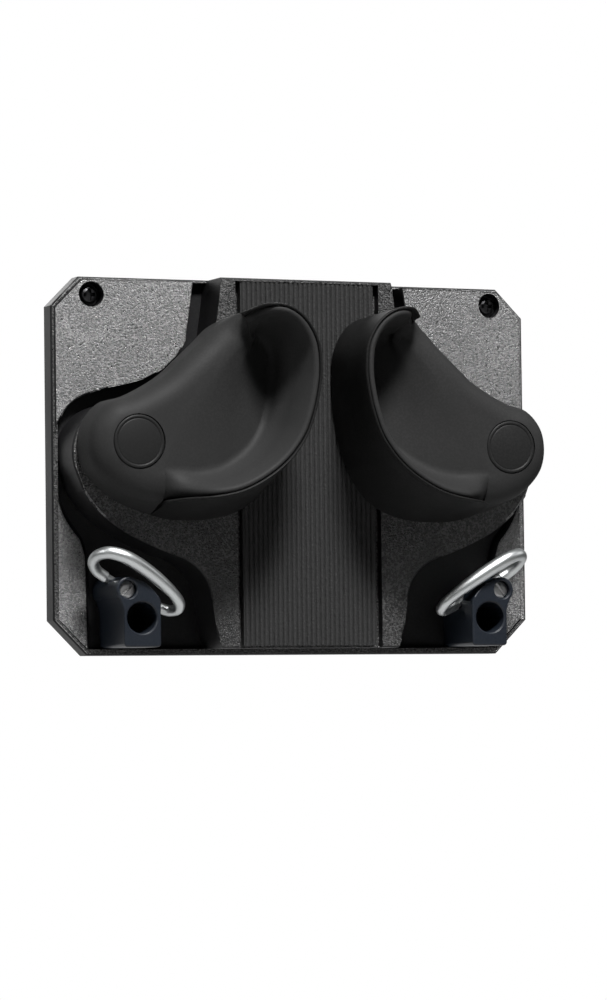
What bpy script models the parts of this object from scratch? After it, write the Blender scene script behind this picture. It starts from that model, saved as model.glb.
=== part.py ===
"""Ski wall rack: a moulded wall plate, two swinging grip arms and two pole hangers with strap loops.

Frame: the origin is the centre of the wall face, +Z is up, the rack's front faces -Y and +X is to the
viewer's right. A depth is a distance in front of the wall, so depth d lies at y = -d.
"""

from math import cos, hypot, pi, radians, sin

import bmesh
import bpy
from mathutils import Matrix, Vector

MM = 0.001
GAP = 0.3 * MM
OVER = 1.0 * MM
LEFT = -1
RIGHT = 1
SIDES = {"left": LEFT, "right": RIGHT}

# Wall plate
PLATE_W = 254 * MM
PLATE_H = 184 * MM
PLATE_CUT_TOP = 14.5 * MM
PLATE_CUT_FOOT = 17 * MM
RIM_D = 9.5 * MM
RIM_W = 3 * MM
RIM_TOP_W = 1.5 * MM
RIM_BEVEL = 1.0 * MM
FLOOR_D = 5 * MM
WALL = 3 * MM
STRIP_W = 16 * MM
STRIP_TOP_Z = -7 * MM
STRIP_SLANT = 20 * MM

# Ribs and webs left standing in the pockets of the back
RIB_PITCH = 22 * MM
RIB_T = 2.2 * MM
BACK_WEB = 10 * MM
BACK_EDGE = 6 * MM

# Channel behind the skis, the spine around it, and the channel's ribbed pad
CHANNEL_X = 38.3 * MM
CHANNEL_DEEP = 4.5 * MM
CHANNEL_END = 2 * MM
SPINE_D = 29 * MM
SPINE_LEDGE = 7.2 * MM
SPINE_TOP_X = CHANNEL_X + SPINE_LEDGE
SPINE_FOOT_FLARE = 1.7 * MM
SPINE_BEVEL = 1.2 * MM
CHANNEL_D = SPINE_D - CHANNEL_DEEP
EDGE_INSET = 0.4 * MM
SPINE_FOOT_Z = -PLATE_H / 2 + 3 * MM
PAD_SIDE_GAP = 2.8 * MM
PAD_PROUD = 0.4 * MM
PAD_RIB_PITCH = 2.5 * MM
PAD_RIB_H = 1.0 * MM

# Raised corner faces, deeper towards the middle
CORNER_EDGE_D = 10.2 * MM
CORNER_PEAK_D = 19 * MM
CORNER_INSET = 1.6 * MM
TROUGH_W = 10.5 * MM
CORNER_INNER_X = SPINE_TOP_X + TROUGH_W
CORNER_FOOT_X = CORNER_INNER_X + 4 * MM
CORNER_FOOT_Z = 62 * MM

# Arm pivots, and the plateau of the spine around each
PIVOT_EDGE = 28.5 * MM
PIVOT_X = PLATE_W / 2 - PIVOT_EDGE
PIVOT_Z = 9.2 * MM
HUB_PLATEAU_R = 24.5 * MM
HUB_PLATEAU_DROP = 4.2 * MM
HUB_PLATEAU_OUT = 0.8 * MM

# Arms: heights are depths in front of the wall
SKI_GAP = 23 * MM
ARM_REACH = PIVOT_X - SKI_GAP / 2
ARM_LIFT = 0.8 * MM
ARM_BACK_D = SPINE_D + ARM_LIFT
ARM_FACE_D = 53 * MM
ARM_EDGE_DROP = 3 * MM
ARM_LIP_D = 73 * MM
ARM_DISH_DROP = 11 * MM
ARM_HUB_FLAT_R = 16 * MM
ARM_HUB_X = 15 * MM
ARM_ROUND = 8 * MM
ARM_WALL_INSET = 11.5 * MM
GRIP_T = 5 * MM
GRIP_LIP_T = 1.3 * MM

# Pieces on the pivot bolts
BOLT_R = 4 * MM
BOLT_HEAD_R = BOLT_R + 3.5 * MM
BOLT_HEAD_T = 5.3 * MM
BOLT_HEAD_D = 1.5 * MM
BOLT_FIT = 0.3 * MM
BOLT_TIP = 0.8 * MM
BOSS_R = BOLT_HEAD_R + 5.5 * MM
BUSH_R = BOLT_R + 3 * MM
THRUST_R = BUSH_R + 5 * MM
THRUST_T = 1.4 * MM
WASHER_T = 1.6 * MM
NUT_R = BOLT_R + 3.4 * MM
NUT_T = 6.8 * MM
WASHER_R = NUT_R + 2.1 * MM
CAP_SKIRT_T = 1.5 * MM
CAP_SKIRT_R = NUT_R + CAP_SKIRT_T + 1.5 * MM
CAP_SKIRT_H = 3 * MM
CAP_R = CAP_SKIRT_R + 2.6 * MM
CAP_T = 2.6 * MM
CAP_CLEAR = 0.6 * MM
BOLT_TIP_D = ARM_FACE_D - CAP_T - CAP_CLEAR
BUSH_D = SPINE_D + GAP + THRUST_T + GAP
BUSH_LEN = BOLT_TIP_D - BOLT_TIP - NUT_T - GAP - WASHER_T - GAP - BUSH_D

# Pole posts
POST_D = 39 * MM
POST_BORE_R = 7.6 * MM
POST_WALL = 1.9 * MM
POST_W = 2 * (POST_BORE_R + POST_WALL)
POST_X = PLATE_W / 2 - 34.7 * MM
POST_FOOT_Z = -PLATE_H / 2 + 3.5 * MM
POST_BEVEL = 0.8 * MM
POST_CORNER_R = 1.6 * MM
POST_CHAMFER = 0.4 * MM
POST_BORE_X = POST_X + 0.3 * MM
POST_BORE_Z = POST_FOOT_Z + 14 * MM
POST_FLOOR = 4.5 * MM
POST_SCREW_X = POST_X + 7.1 * MM
POST_SCREW_Z = POST_FOOT_Z + 27.6 * MM
POST_SCREW_R = 1.9 * MM
POST_SCREW_HEAD_R = 4.1 * MM
POST_SCREW_HEAD_T = 2.4 * MM
POST_SCREW_SINK = 4.8 * MM
POST_SCREW_TIP_D = 1.8 * MM
POST_BOSS_R = POST_SCREW_HEAD_R + GAP + 1.8 * MM

# Strap loops: a bent rod hinged in the post's two sides
LOOP_X = POST_X + 0.6 * MM
LOOP_Z = POST_FOOT_Z + 27.2 * MM
LOOP_D = 24 * MM
LOOP_SLOPE = 28
LOOP_TILT = 60
LOOP_SPAN = POST_W + 30.6 * MM
LOOP_RISE = 19.4 * MM
LOOP_ROD_R = 2.75 * MM
LOOP_BOW_R = 3.5 * MM
LOOP_PIN_R = 2.1 * MM
LOOP_FIT = 0.3 * MM
LOOP_NECK = 0.3 * MM
LOOP_OUTER_PIN = -POST_W / 2 - 0.4 * MM
LOOP_INNER_PIN = POST_W / 2 - 2.9 * MM

# Wall screws
WALL_SCREW_X = PLATE_W / 2 - 19.9 * MM
WALL_SCREW_Z = PLATE_H / 2 - 8.8 * MM
WALL_SCREW_R = 2.3 * MM
WALL_SCREW_LEN = 38 * MM
WALL_SCREW_HEAD_R = 4.1 * MM
WALL_SCREW_HEAD_T = 2.6 * MM
WALL_SCREW_SINK_R = WALL_SCREW_HEAD_R + 2.1 * MM
WALL_SCREW_SEAT_D = 6 * MM
WALL_SCREW_HOLE_R = WALL_SCREW_R + 0.4 * MM
WALL_WASHER_R = WALL_SCREW_HEAD_R + 1.6 * MM
WALL_WASHER_T = 1.0 * MM

ROUND = 32


def remove_everything():
    for obj in list(bpy.data.objects):
        bpy.data.objects.remove(obj, do_unlink=True)


def finish(name, colour, roughness, metallic=0.0):
    """A plain material for one sub-part."""
    material = bpy.data.materials.new(name)
    material.use_nodes = True
    shader = material.node_tree.nodes["Principled BSDF"]
    shader.inputs["Base Color"].default_value = (*colour, 1)
    shader.inputs["Roughness"].default_value = roughness
    shader.inputs["Metallic"].default_value = metallic
    material.diffuse_color = (*colour, 1)
    return material


def place(bm, name, material=None, parent=None, smooth=False):
    """Turns a bmesh into a named object of the scene, with its faces pointing out."""
    bmesh.ops.recalc_face_normals(bm, faces=bm.faces)
    mesh = bpy.data.meshes.new(name)
    bm.to_mesh(mesh)
    bm.free()
    if smooth:
        mesh.shade_smooth()
        mesh.set_sharp_from_angle(angle=radians(35))
    obj = bpy.data.objects.new(name, mesh)
    if material:
        obj.data.materials.append(material)
    if parent:
        obj.parent = parent
    bpy.context.scene.collection.objects.link(obj)
    return obj


def axis_empty(name, location, rotation=None):
    """An empty on a joint's axis, which carries the pieces that turn about it."""
    empty = bpy.data.objects.new(name, None)
    empty.matrix_world = Matrix.Translation(location) @ (rotation or Matrix())
    bpy.context.scene.collection.objects.link(empty)
    return empty


def boolean(target, tool, operation):
    """Adds a Boolean with a tool that stays hidden."""
    tool.hide_render = True
    tool.display_type = "WIRE"
    modifier = target.modifiers.new(tool.name, "BOOLEAN")
    modifier.operation = operation
    modifier.object = tool
    modifier.solver = "EXACT"


def cut(target, *tools):
    for tool in tools:
        boolean(target, tool, "DIFFERENCE")


def join(target, *tools):
    for tool in tools:
        boolean(target, tool, "UNION")


def depth_at(depth, x, z):
    return depth(x, z) if callable(depth) else depth


def prism(outline, back, front):
    """A bmesh of an outline in (x, z), extruded forwards from one depth to another.

    Each depth is a number, or a function of x and z for a sloping face.
    """
    bm = bmesh.new()
    face = bm.faces.new([bm.verts.new((x, -depth_at(back, x, z), z)) for x, z in outline])
    new = bmesh.ops.extrude_face_region(bm, geom=[face])
    for vert in new["geom"]:
        if isinstance(vert, bmesh.types.BMVert):
            vert.co.y = -depth_at(front, vert.co.x, vert.co.z)
    return bm


def bevel_front(bm, depth, width, segments=2):
    """Rounds the edges that lie in the plane at this depth."""
    edges = [e for e in bm.edges if all(abs(v.co.y + depth) < 1e-7 for v in e.verts)]
    bmesh.ops.bevel(
        bm, geom=edges, affect="EDGES", offset=width, segments=segments, profile=0.5, material=-1
    )


def cylinder(x, z, radius, back, front, segments=ROUND):
    """A bmesh of a cylinder along the depth axis."""
    bm = bmesh.new()
    middle = Matrix.Translation((x, -(back + front) / 2, z)) @ Matrix.Rotation(radians(90), 4, "X")
    bmesh.ops.create_cone(
        bm,
        cap_ends=True,
        segments=segments,
        radius1=radius,
        radius2=radius,
        depth=front - back,
        matrix=middle,
    )
    return bm


def turned(profile, x, z, segments=ROUND):
    """A bmesh spun about the depth axis through (x, z) from an open or closed profile of (r, depth)."""
    bm = bmesh.new()
    verts = [bm.verts.new((x + r, -d, z)) for r, d in profile]
    edges = [bm.edges.new(pair) for pair in zip(verts, verts[1:])]
    if profile[0][0] > 0:
        edges.append(bm.edges.new((verts[-1], verts[0])))
    bmesh.ops.spin(
        bm,
        geom=verts + edges,
        cent=(x, 0, z),
        axis=(0, 1, 0),
        angle=2 * pi,
        steps=segments,
        use_merge=True,
    )
    bmesh.ops.remove_doubles(bm, verts=bm.verts, dist=0.001 * MM)
    return bm


def ring(x, z, inner, outer, back, front, segments=ROUND):
    """A bmesh of a washer or sleeve along the depth axis."""
    return turned([(inner, back), (outer, back), (outer, front), (inner, front)], x, z, segments)


def arc(x, z, radius, start, end, steps):
    """Points along an arc, angles in degrees from +X towards +Z."""
    turn = [radians(start + (end - start) * i / steps) for i in range(steps + 1)]
    return [(x + radius * cos(a), z + radius * sin(a)) for a in turn]


def smooth_through(points, steps, closed=False):
    """A smooth curve through tuples of numbers, with this many steps between neighbours."""
    count = len(points)
    curve = []
    for i in range(count if closed else count - 1):
        if closed:
            four = [points[(i + k) % count] for k in (-1, 0, 1, 2)]
        else:
            four = [points[min(max(i + k, 0), count - 1)] for k in (-1, 0, 1, 2)]
        for step in range(steps):
            t = step / steps
            weights = (
                -0.5 * t + t * t - 0.5 * t**3,
                1 - 2.5 * t * t + 1.5 * t**3,
                0.5 * t + 2 * t * t - 1.5 * t**3,
                -0.5 * t * t + 0.5 * t**3,
            )
            curve.append(tuple(sum(w * p[k] for w, p in zip(weights, four)) for k in range(len(four[0]))))
    if not closed:
        curve.append(tuple(points[-1]))
    return curve


def mirrored(points, side):
    """Points written for the left side, moved to this side."""
    return [(-side * x, z) for x, z in points]


def both_sides(points):
    """An outline's left half from top to foot, closed by its mirror image."""
    return points + [(-x, z) for x, z in reversed(points)]


def plate_outline(inset):
    """The wall plate's chamfered outline, drawn in by an inset."""
    x = PLATE_W / 2 - inset
    z = PLATE_H / 2 - inset
    slip = inset * (2 - 2**0.5)
    top = PLATE_CUT_TOP - slip
    foot = PLATE_CUT_FOOT - slip
    return both_sides([(-x + top, z), (-x, z - top), (-x, -z + foot), (-x + foot, -z)])


def corner_depth(x, z):
    """Depth of a raised corner face, which grows from the plate's edge to the trough."""
    share = (PLATE_W / 2 - abs(x)) / (PLATE_W / 2 - CORNER_INNER_X)
    return CORNER_EDGE_D + (CORNER_PEAK_D - CORNER_EDGE_D) * share


def corner_block(side):
    """The raised face around an upper wall screw."""
    x = PLATE_W / 2 - CORNER_INSET
    z = PLATE_H / 2 - CORNER_INSET
    slip = CORNER_INSET * (2 - 2**0.5)
    top = PLATE_CUT_TOP - slip
    hub_x, hub_z = hub_plateau_centre()
    around_hub = [(23.7, 17.5), (16.2, 26.5), (3.5, 31.7), (-12.1, 35.4)]
    rise = CORNER_FOOT_Z - hub_z
    run = hub_x - CORNER_FOOT_X
    to_foot = [(0.42, 0.69), (0.15, 0.83), (0, 1)]
    sweep = [(-x, hub_z + 10.5 * MM)]
    sweep += [(-hub_x - across * MM, hub_z + up * MM) for across, up in around_hub]
    sweep += [(-CORNER_FOOT_X - share * run, hub_z + up * rise) for share, up in to_foot]
    sweep = smooth_through(sweep, 3)
    outline = [(-CORNER_INNER_X, z), (-x + top, z), (-x, z - top)] + sweep
    bm = prism(mirrored(outline, side), 1 * MM, corner_depth)
    return bm


def hub_plateau_centre():
    return PIVOT_X + HUB_PLATEAU_OUT, PIVOT_Z - HUB_PLATEAU_DROP


def spine_outline():
    """The raised spine with its two hub wings, drawn from the hub plateaus and the channel's ledges."""
    hub_x, hub_z = hub_plateau_centre()
    top_z = PLATE_H / 2 - EDGE_INSET
    run = hub_x - SPINE_TOP_X
    shoulder = [(0.055, 64), (0.112, 51), (0.26, 38), (0.567, 29.5), (0.79, 26)]
    upper = [(-SPINE_TOP_X, top_z)]
    upper += [(-SPINE_TOP_X - share * run, hub_z + up * MM) for share, up in shoulder]
    wing = arc(-hub_x, hub_z, HUB_PLATEAU_R, 100, 196, 12)
    below_hub = [(19.2, -18), (13.2, -26.2), (5.6, -33)]
    lower = [(-hub_x - across * MM, hub_z + up * MM) for across, up in below_hub]
    sweep = [(0.915, -39.4), (0.627, -46.3), (0.381, -51.2), (0.223, -57.6), (0.139, -67), (0.084, -85)]
    for share, down in sweep:
        lower.append((-SPINE_TOP_X - share * run, max(hub_z + down * MM, SPINE_FOOT_Z + 2 * MM)))
    lower.append((-SPINE_TOP_X - SPINE_FOOT_FLARE, SPINE_FOOT_Z))
    return both_sides(smooth_through(upper, 3) + wing + smooth_through(lower, 3))


def lower_strip_depth(x, z):
    """Floor depth of the strip that runs from the rim down into the lower recess."""
    share = (PLATE_W / 2 - RIM_W - abs(x)) / (STRIP_W + OVER)
    return RIM_D + (FLOOR_D - RIM_D) * share


def recess_cutters():
    """Cutters for the sunken floor, and for the two strips that slope down to it."""
    x = PLATE_W / 2 - RIM_W
    z = PLATE_H / 2 - RIM_W
    top_z = PLATE_H / 2 - RIM_TOP_W
    top = PLATE_CUT_TOP
    inner_x = x - STRIP_W
    slant_z = STRIP_TOP_Z - STRIP_SLANT
    upper = [(-x + top, top_z), (-x, top_z - top), (-x, -STRIP_TOP_Z), (-x, STRIP_TOP_Z + OVER)]
    floor = both_sides(upper + [(-inner_x, slant_z + OVER), (-inner_x, -z)])
    yield place(prism(floor, FLOOR_D, RIM_D + OVER), "floor_cutter")
    cut_foot = PLATE_CUT_FOOT - RIM_W
    for name, side in SIDES.items():
        edge = [(-x, STRIP_TOP_Z), (-inner_x + OVER, slant_z - OVER), (-inner_x + OVER, -z)]
        strip = mirrored(edge + [(-x + cut_foot, -z), (-x, -z + cut_foot)], side)
        yield place(prism(strip, lower_strip_depth, RIM_D + OVER), f"{name}_strip_cutter")


def rib_bars(name, along_x):
    """Ribs that stay in the back's pockets, as bars at an even pitch across or up the plate."""
    reach = PLATE_H if along_x else PLATE_W
    count = int(reach / 2 / RIB_PITCH)
    bm = bmesh.new()
    for i in range(-count, count + 1):
        size = (PLATE_W, 2 * SPINE_D, RIB_T) if along_x else (RIB_T, 2 * SPINE_D, PLATE_H)
        place_at = (0, 0, i * RIB_PITCH) if along_x else (i * RIB_PITCH, 0, 0)
        matrix = Matrix.Translation(place_at) @ Matrix.Diagonal((*size, 1))
        bmesh.ops.create_cube(bm, size=1, matrix=matrix)
    return place(bm, name)


def back_pocket(name, outline, front, *keepers):
    """A pocket in the back, up to a front depth, with ribs and any other keepers left standing in it."""
    pocket = place(prism(outline, -OVER, front), name)
    cut(pocket, rib_bars(f"{name}_cross_ribs", True), rib_bars(f"{name}_long_ribs", False), *keepers)
    return pocket


def spine_pocket(name, side):
    edge = CHANNEL_X - WALL
    end = PLATE_H / 2 - BACK_EDGE
    box = [(BACK_WEB, end), (edge, end), (edge, -end), (BACK_WEB, -end)]
    return back_pocket(f"{name}_spine_pocket", mirrored(box, side), CHANNEL_D - WALL)


def wing_pocket(name, side):
    """The pocket behind a hub wing, with the pivot's boss left standing in it."""
    x0 = CHANNEL_X + WALL
    hub_x, hub_z = hub_plateau_centre()
    run = hub_x - x0
    upper = [(-x0 - share * run, hub_z + up * MM) for share, up in ((0, 33), (0.36, 28), (0.67, 23.5))]
    around = [(-0.7, 20.5), (-14.7, 14.5), (-20.2, 0), (-15.7, -16), (-1.7, -29.5)]
    middle = [(-hub_x + across * MM, hub_z + up * MM) for across, up in around]
    lower = [(-x0 - share * run, hub_z + up * MM) for share, up in ((0.74, -39), (0.36, -47.5), (0, -55))]
    outline = mirrored(smooth_through(upper + middle + lower, 2), side)
    boss = place(cylinder(side * PIVOT_X, PIVOT_Z, BOSS_R, -2 * OVER, SPINE_D), f"{name}_boss_keeper")
    return back_pocket(f"{name}_wing_pocket", outline, SPINE_D - WALL, boss)


def corner_pocket_depth(x, z):
    return corner_depth(x, z) - WALL


def corner_pocket(name, side):
    """The pocket behind a raised corner face, clear of the wall screw's seat."""
    end_x = PLATE_W / 2 - BACK_EDGE - OVER
    end_z = PLATE_H / 2 - BACK_EDGE
    seat_x = WALL_SCREW_X - WALL_SCREW_SINK_R - 2 * WALL
    seat_z = WALL_SCREW_Z - WALL_SCREW_SINK_R - 2 * WALL
    hub_x, hub_z = hub_plateau_centre()
    sweep = [(-end_x, hub_z + 31 * MM), (-hub_x, hub_z + 37 * MM), (-hub_x + 17 * MM, hub_z + 41 * MM)]
    outline = [(-CORNER_INNER_X - WALL, end_z), (-seat_x, end_z), (-seat_x, seat_z), (-end_x, seat_z)]
    outline += sweep + [(-CORNER_FOOT_X - 2 * WALL, CORNER_FOOT_Z + WALL)]
    return back_pocket(f"{name}_corner_pocket", mirrored(outline, side), corner_pocket_depth)


def screw_places():
    """Name, x, z and seat depth of each wall screw."""
    for name, side in SIDES.items():
        yield f"upper_{name}", side * WALL_SCREW_X, WALL_SCREW_Z, WALL_SCREW_SEAT_D
        yield f"lower_{name}", side * POST_BORE_X, POST_BORE_Z, post_floor_depth()


def post_floor_depth():
    return FLOOR_D + GAP + POST_FLOOR


def build_base():
    """The wall plate: one moulding with its rim, corner faces, spine, channel, pockets and holes."""
    material = finish("plate_plastic", (0.028, 0.028, 0.03), 0.55)
    bm = prism(plate_outline(0), 0, RIM_D)
    bevel_front(bm, RIM_D, RIM_BEVEL)
    base = place(bm, "base_plate", material)
    cut(base, *recess_cutters())
    for name, side in SIDES.items():
        join(base, place(corner_block(side), f"{name}_corner_block"))
    bm = prism(spine_outline(), 1 * MM, SPINE_D)
    bevel_front(bm, SPINE_D, SPINE_BEVEL)
    join(base, place(bm, "spine_block"))
    channel = both_sides([(-CHANNEL_X, PLATE_H / 2 - CHANNEL_END), (-CHANNEL_X, SPINE_FOOT_Z - OVER)])
    cut(base, place(prism(channel, CHANNEL_D, SPINE_D + OVER), "channel_cutter"))
    for name, side in SIDES.items():
        cut(base, spine_pocket(name, side), wing_pocket(name, side), corner_pocket(name, side))
        hole = cylinder(side * PIVOT_X, PIVOT_Z, BOLT_R + BOLT_FIT, -OVER, SPINE_D + OVER)
        sink_r = BOLT_HEAD_R + 2 * BOLT_FIT
        sink_d = BOLT_HEAD_D + BOLT_HEAD_T + GAP
        sink = cylinder(side * PIVOT_X, PIVOT_Z, sink_r, -2 * OVER, sink_d)
        pilot_r = POST_SCREW_R + GAP
        pilot = cylinder(side * POST_SCREW_X, POST_SCREW_Z, pilot_r, -OVER, FLOOR_D + OVER)
        cut(base, place(hole, f"{name}_pivot_hole"), place(sink, f"{name}_head_sink"))
        cut(base, place(pilot, f"{name}_post_pilot"))
    for name, x, z, seat in screw_places():
        cut(base, place(cylinder(x, z, WALL_SCREW_HOLE_R, -2 * OVER, RIM_D + OVER), f"{name}_screw_hole"))
        if seat < RIM_D - 2 * MM:
            sink = cylinder(x, z, WALL_SCREW_SINK_R, seat, CORNER_PEAK_D)
            cut(base, place(sink, f"{name}_screw_sink"))
    return base


def build_channel_pad():
    """The ribbed rubber pad glued into the channel."""
    material = finish("pad_rubber", (0.03, 0.03, 0.031), 0.8)
    half = CHANNEL_X - PAD_SIDE_GAP
    top_z = PLATE_H / 2 - CHANNEL_END - GAP
    foot_z = SPINE_FOOT_Z + SPINE_BEVEL
    back = CHANNEL_D + GAP
    front = SPINE_D + PAD_PROUD - PAD_RIB_H
    ribs = int(2 * half / PAD_RIB_PITCH)
    start = -ribs * PAD_RIB_PITCH / 2
    section = [(-half, back), (-half, front)]
    for i in range(ribs):
        x = start + i * PAD_RIB_PITCH
        for share, lift in ((0.15, 0), (0.3, PAD_RIB_H), (0.7, PAD_RIB_H), (0.85, 0)):
            section.append((x + share * PAD_RIB_PITCH, front + lift))
    section += [(half, front), (half, back)]
    bm = bmesh.new()
    face = bm.faces.new([bm.verts.new((x, -d, foot_z)) for x, d in section])
    new = bmesh.ops.extrude_face_region(bm, geom=[face])
    lifted = [v for v in new["geom"] if isinstance(v, bmesh.types.BMVert)]
    bmesh.ops.translate(bm, verts=lifted, vec=(0, 0, top_z - foot_z))
    return place(bm, "channel_pad", material)


def screw(name, x, z, head_r, head_t, shank_r, seat, length, material, cross=True):
    """A pan-head screw along the depth axis, its head's underside at the seat depth."""
    dome = head_t * 0.45
    tip = seat - length
    profile = [
        (0, tip),
        (shank_r * 0.35, tip + shank_r * 0.8),
        (shank_r, tip + shank_r * 2.6),
        (shank_r, seat),
        (head_r, seat),
        (head_r, seat + head_t - dome),
        (head_r * 0.86, seat + head_t - dome * 0.35),
        (head_r * 0.6, seat + head_t),
        (0, seat + head_t),
    ]
    obj = place(turned(profile, x, z), name, material, smooth=True)
    slot = head_r * 0.24
    reach = head_r * (0.72 if cross else 1.2)
    top = seat + head_t + OVER
    foot = seat + head_t * 0.4
    bar = [(x - reach, z - slot), (x + reach, z - slot), (x + reach, z + slot), (x - reach, z + slot)]
    cut(obj, place(prism(bar, foot, top), f"{name}_slot"))
    if cross:
        bar = [(x - slot, z - reach), (x + slot, z - reach), (x + slot, z + reach), (x - slot, z + reach)]
        cut(obj, place(prism(bar, foot, top), f"{name}_cross_slot"))
    return obj


def build_wall_screws():
    """Four wood screws with washers, two at the top and two at the foot of the posts' bores."""
    steel = finish("black_steel", (0.04, 0.04, 0.042), 0.4, 0.8)
    for name, x, z, seat in screw_places():
        washer_back = seat + GAP
        washer_front = washer_back + WALL_WASHER_T
        washer = ring(x, z, WALL_SCREW_R + GAP, WALL_WASHER_R, washer_back, washer_front)
        place(washer, f"{name}_washer", steel, smooth=True)
        screw(
            f"{name}_wall_screw",
            x,
            z,
            WALL_SCREW_HEAD_R,
            WALL_SCREW_HEAD_T,
            WALL_SCREW_R,
            washer_front + GAP,
            WALL_SCREW_LEN,
            steel,
        )


def pivot_stack():
    """Depths of the pieces on a pivot bolt, from the wall outwards."""
    washer = BUSH_D + BUSH_LEN + GAP
    return SPINE_D + GAP, BUSH_D, washer, washer + WASHER_T + GAP


def hexagon(x, z, radius, back, front):
    return cylinder(x, z, radius, back, front, 6)


def build_pivot(name, side):
    """A bolt through the hub boss, with thrust washer, bush, front washer and lock nut."""
    steel = finish(f"{name}_pivot_steel", (0.55, 0.55, 0.56), 0.35, 1.0)
    nylon = finish(f"{name}_pivot_nylon", (0.75, 0.74, 0.7), 0.5)
    x = side * PIVOT_X
    z = PIVOT_Z
    thrust, bush, washer, nut = pivot_stack()
    head_top = BOLT_HEAD_D + BOLT_HEAD_T
    bolt = place(hexagon(x, z, BOLT_HEAD_R, BOLT_HEAD_D, head_top), f"{name}_pivot_bolt", steel)
    shank = cylinder(x, z, BOLT_R, head_top - OVER, BOLT_TIP_D)
    join(bolt, place(shank, f"{name}_bolt_shank"))
    bore = BOLT_R + GAP
    place(ring(x, z, bore, THRUST_R, thrust, thrust + THRUST_T), f"{name}_thrust_washer", nylon, smooth=True)
    place(ring(x, z, bore, BUSH_R, bush, bush + BUSH_LEN), f"{name}_arm_bushing", nylon, smooth=True)
    place(ring(x, z, bore, WASHER_R, washer, washer + WASHER_T), f"{name}_front_washer", steel, smooth=True)
    lock_nut = place(hexagon(x, z, NUT_R, nut, nut + NUT_T), f"{name}_lock_nut", steel)
    cut(lock_nut, place(cylinder(x, z, bore, nut - OVER, nut + NUT_T + OVER), f"{name}_nut_bore"))


# Arm outline about its pivot, in mm, going round from the top of the hub by its outer side. Each row has
# x towards the middle and z at the back, x and z at the front edge, the share of the lip's full height,
# and the share of the dish's full drop at the foot of its wall. Between them, GRIP_ROWS hold the grip.
ARM_ROWS = [
    (-2.0, 22.6, -2.0, 22.2, 0, 0),
    (-13.0, 19.4, -12.8, 18.7, 0, 0),
    (-20.8, 10.8, -20.2, 10.2, 0, 0),
    (-23.4, 0.0, -22.4, 0.0, 0, 0),
    (-21.8, -10.2, -20.8, -9.8, 0, 0),
    (-16.8, -17.6, -16.0, -17.0, 0, 0),
    (-9.5, -24.0, -8.5, -23.4, 0, 0),
    (-1.0, -29.0, 0.0, -27.3, 0, 0),
    (7.5, -32.0, 7.5, -29.0, 0.04, 0),
    (14.0, -34.0, 13.7, -29.2, 0.17, 0.03),
    (23.0, -36.0, 20.5, -28.4, 0.56, 0.06),
    (34.0, -36.4, 30.5, -27.9, 0.91, 0.1),
    (46.0, -35.6, 42.9, -25.6, 1, 0.17),
    (58.0, -32.4, 53.3, -21.4, 1, 0.3),
    (68.5, -26.0, 63.8, -14.8, 1, 0.48),
    (76.5, -16.0, 72.2, -7.0, 1, 0.68),
    (82.0, -4.0, 78.9, 2.4, 1, 0.86),
    (84.8, 8.5, 82.8, 12.0, 1, 0.96),
    (86.4, 21.0, 85.4, 22.0, 1, 1),
    (86.9, 34.5, 87.0, 34.5, 1, 1),
    (85.6, 47.0, 85.7, 48.1, 1, 0.98),
    (79.6, 58.0, 79.7, 58.8, 1, 0.9),
    (71.0, 63.6, 70.8, 65.0, 1, 0.8),
    (61.5, 63.8, 60.5, 66.2, 0.91, 0.62),
    (52.8, 61.6, 52.6, 63.0, 0.52, 0.42),
    (43.8, 57.0, 43.6, 57.0, 0.13, 0.2),
    (35.5, 49.2, 35.3, 49.0, 0, 0.08),
    (26.5, 41.0, 26.3, 40.8, 0, 0.02),
    (18.0, 33.5, 17.8, 33.2, 0, 0),
    (8.0, 27.3, 8.0, 27.0, 0, 0),
]
ARM_STEPS = 3
GRIP_ROWS = (9, 24)
DISH_END_STEPS = 12


def outward(points):
    """Unit normals of a closed outline of (x, z), pointing out of it."""
    normals = []
    for i, (x, z) in enumerate(points):
        before = points[i - 1]
        after = points[(i + 1) % len(points)]
        along = Vector((after[0] - before[0], after[1] - before[1])).normalized()
        normals.append(Vector((along.y, -along.x)))
    area = sum(a[0] * b[1] - b[0] * a[1] for a, b in zip(points, points[1:] + points[:1]))
    return normals if area > 0 else [-n for n in normals]


def grown(points, amounts):
    """An outline moved out by an amount at each point, or in by a negative one."""
    return [(x + n.x * a, z + n.y * a) for (x, z), n, a in zip(points, outward(points), amounts)]


def blend(a, b, share):
    return a + (b - a) * share


def arm_curves():
    """The arm's back and front outlines, its edge and dish depths, and its share of full lip height."""
    drawn_reach = max(max(row[0], row[2]) for row in ARM_ROWS) * MM
    rows = smooth_through(ARM_ROWS, ARM_STEPS, closed=True)
    stretch = (ARM_REACH - ARM_HUB_X) / (drawn_reach - ARM_HUB_X)
    low_d = ARM_FACE_D - ARM_EDGE_DROP
    back = [(past_hub(row[0] * MM, stretch), row[1] * MM) for row in rows]
    front = [(past_hub(row[2] * MM, stretch), row[3] * MM) for row in rows]
    lip = [min(max(row[4], 0), 1) for row in rows]
    depth = [blend(low_d, ARM_LIP_D, k) for k in lip]
    dish = [ARM_FACE_D - ARM_DISH_DROP * row[5] for row in rows]
    return back, front, depth, dish, lip


def past_hub(x, stretch):
    """Lengthens what lies beyond the hub, so that the arm reaches as far as it should."""
    return x if x < ARM_HUB_X else ARM_HUB_X + (x - ARM_HUB_X) * stretch


def in_grip(i):
    first, last = GRIP_ROWS
    return first * ARM_STEPS <= i <= last * ARM_STEPS


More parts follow.
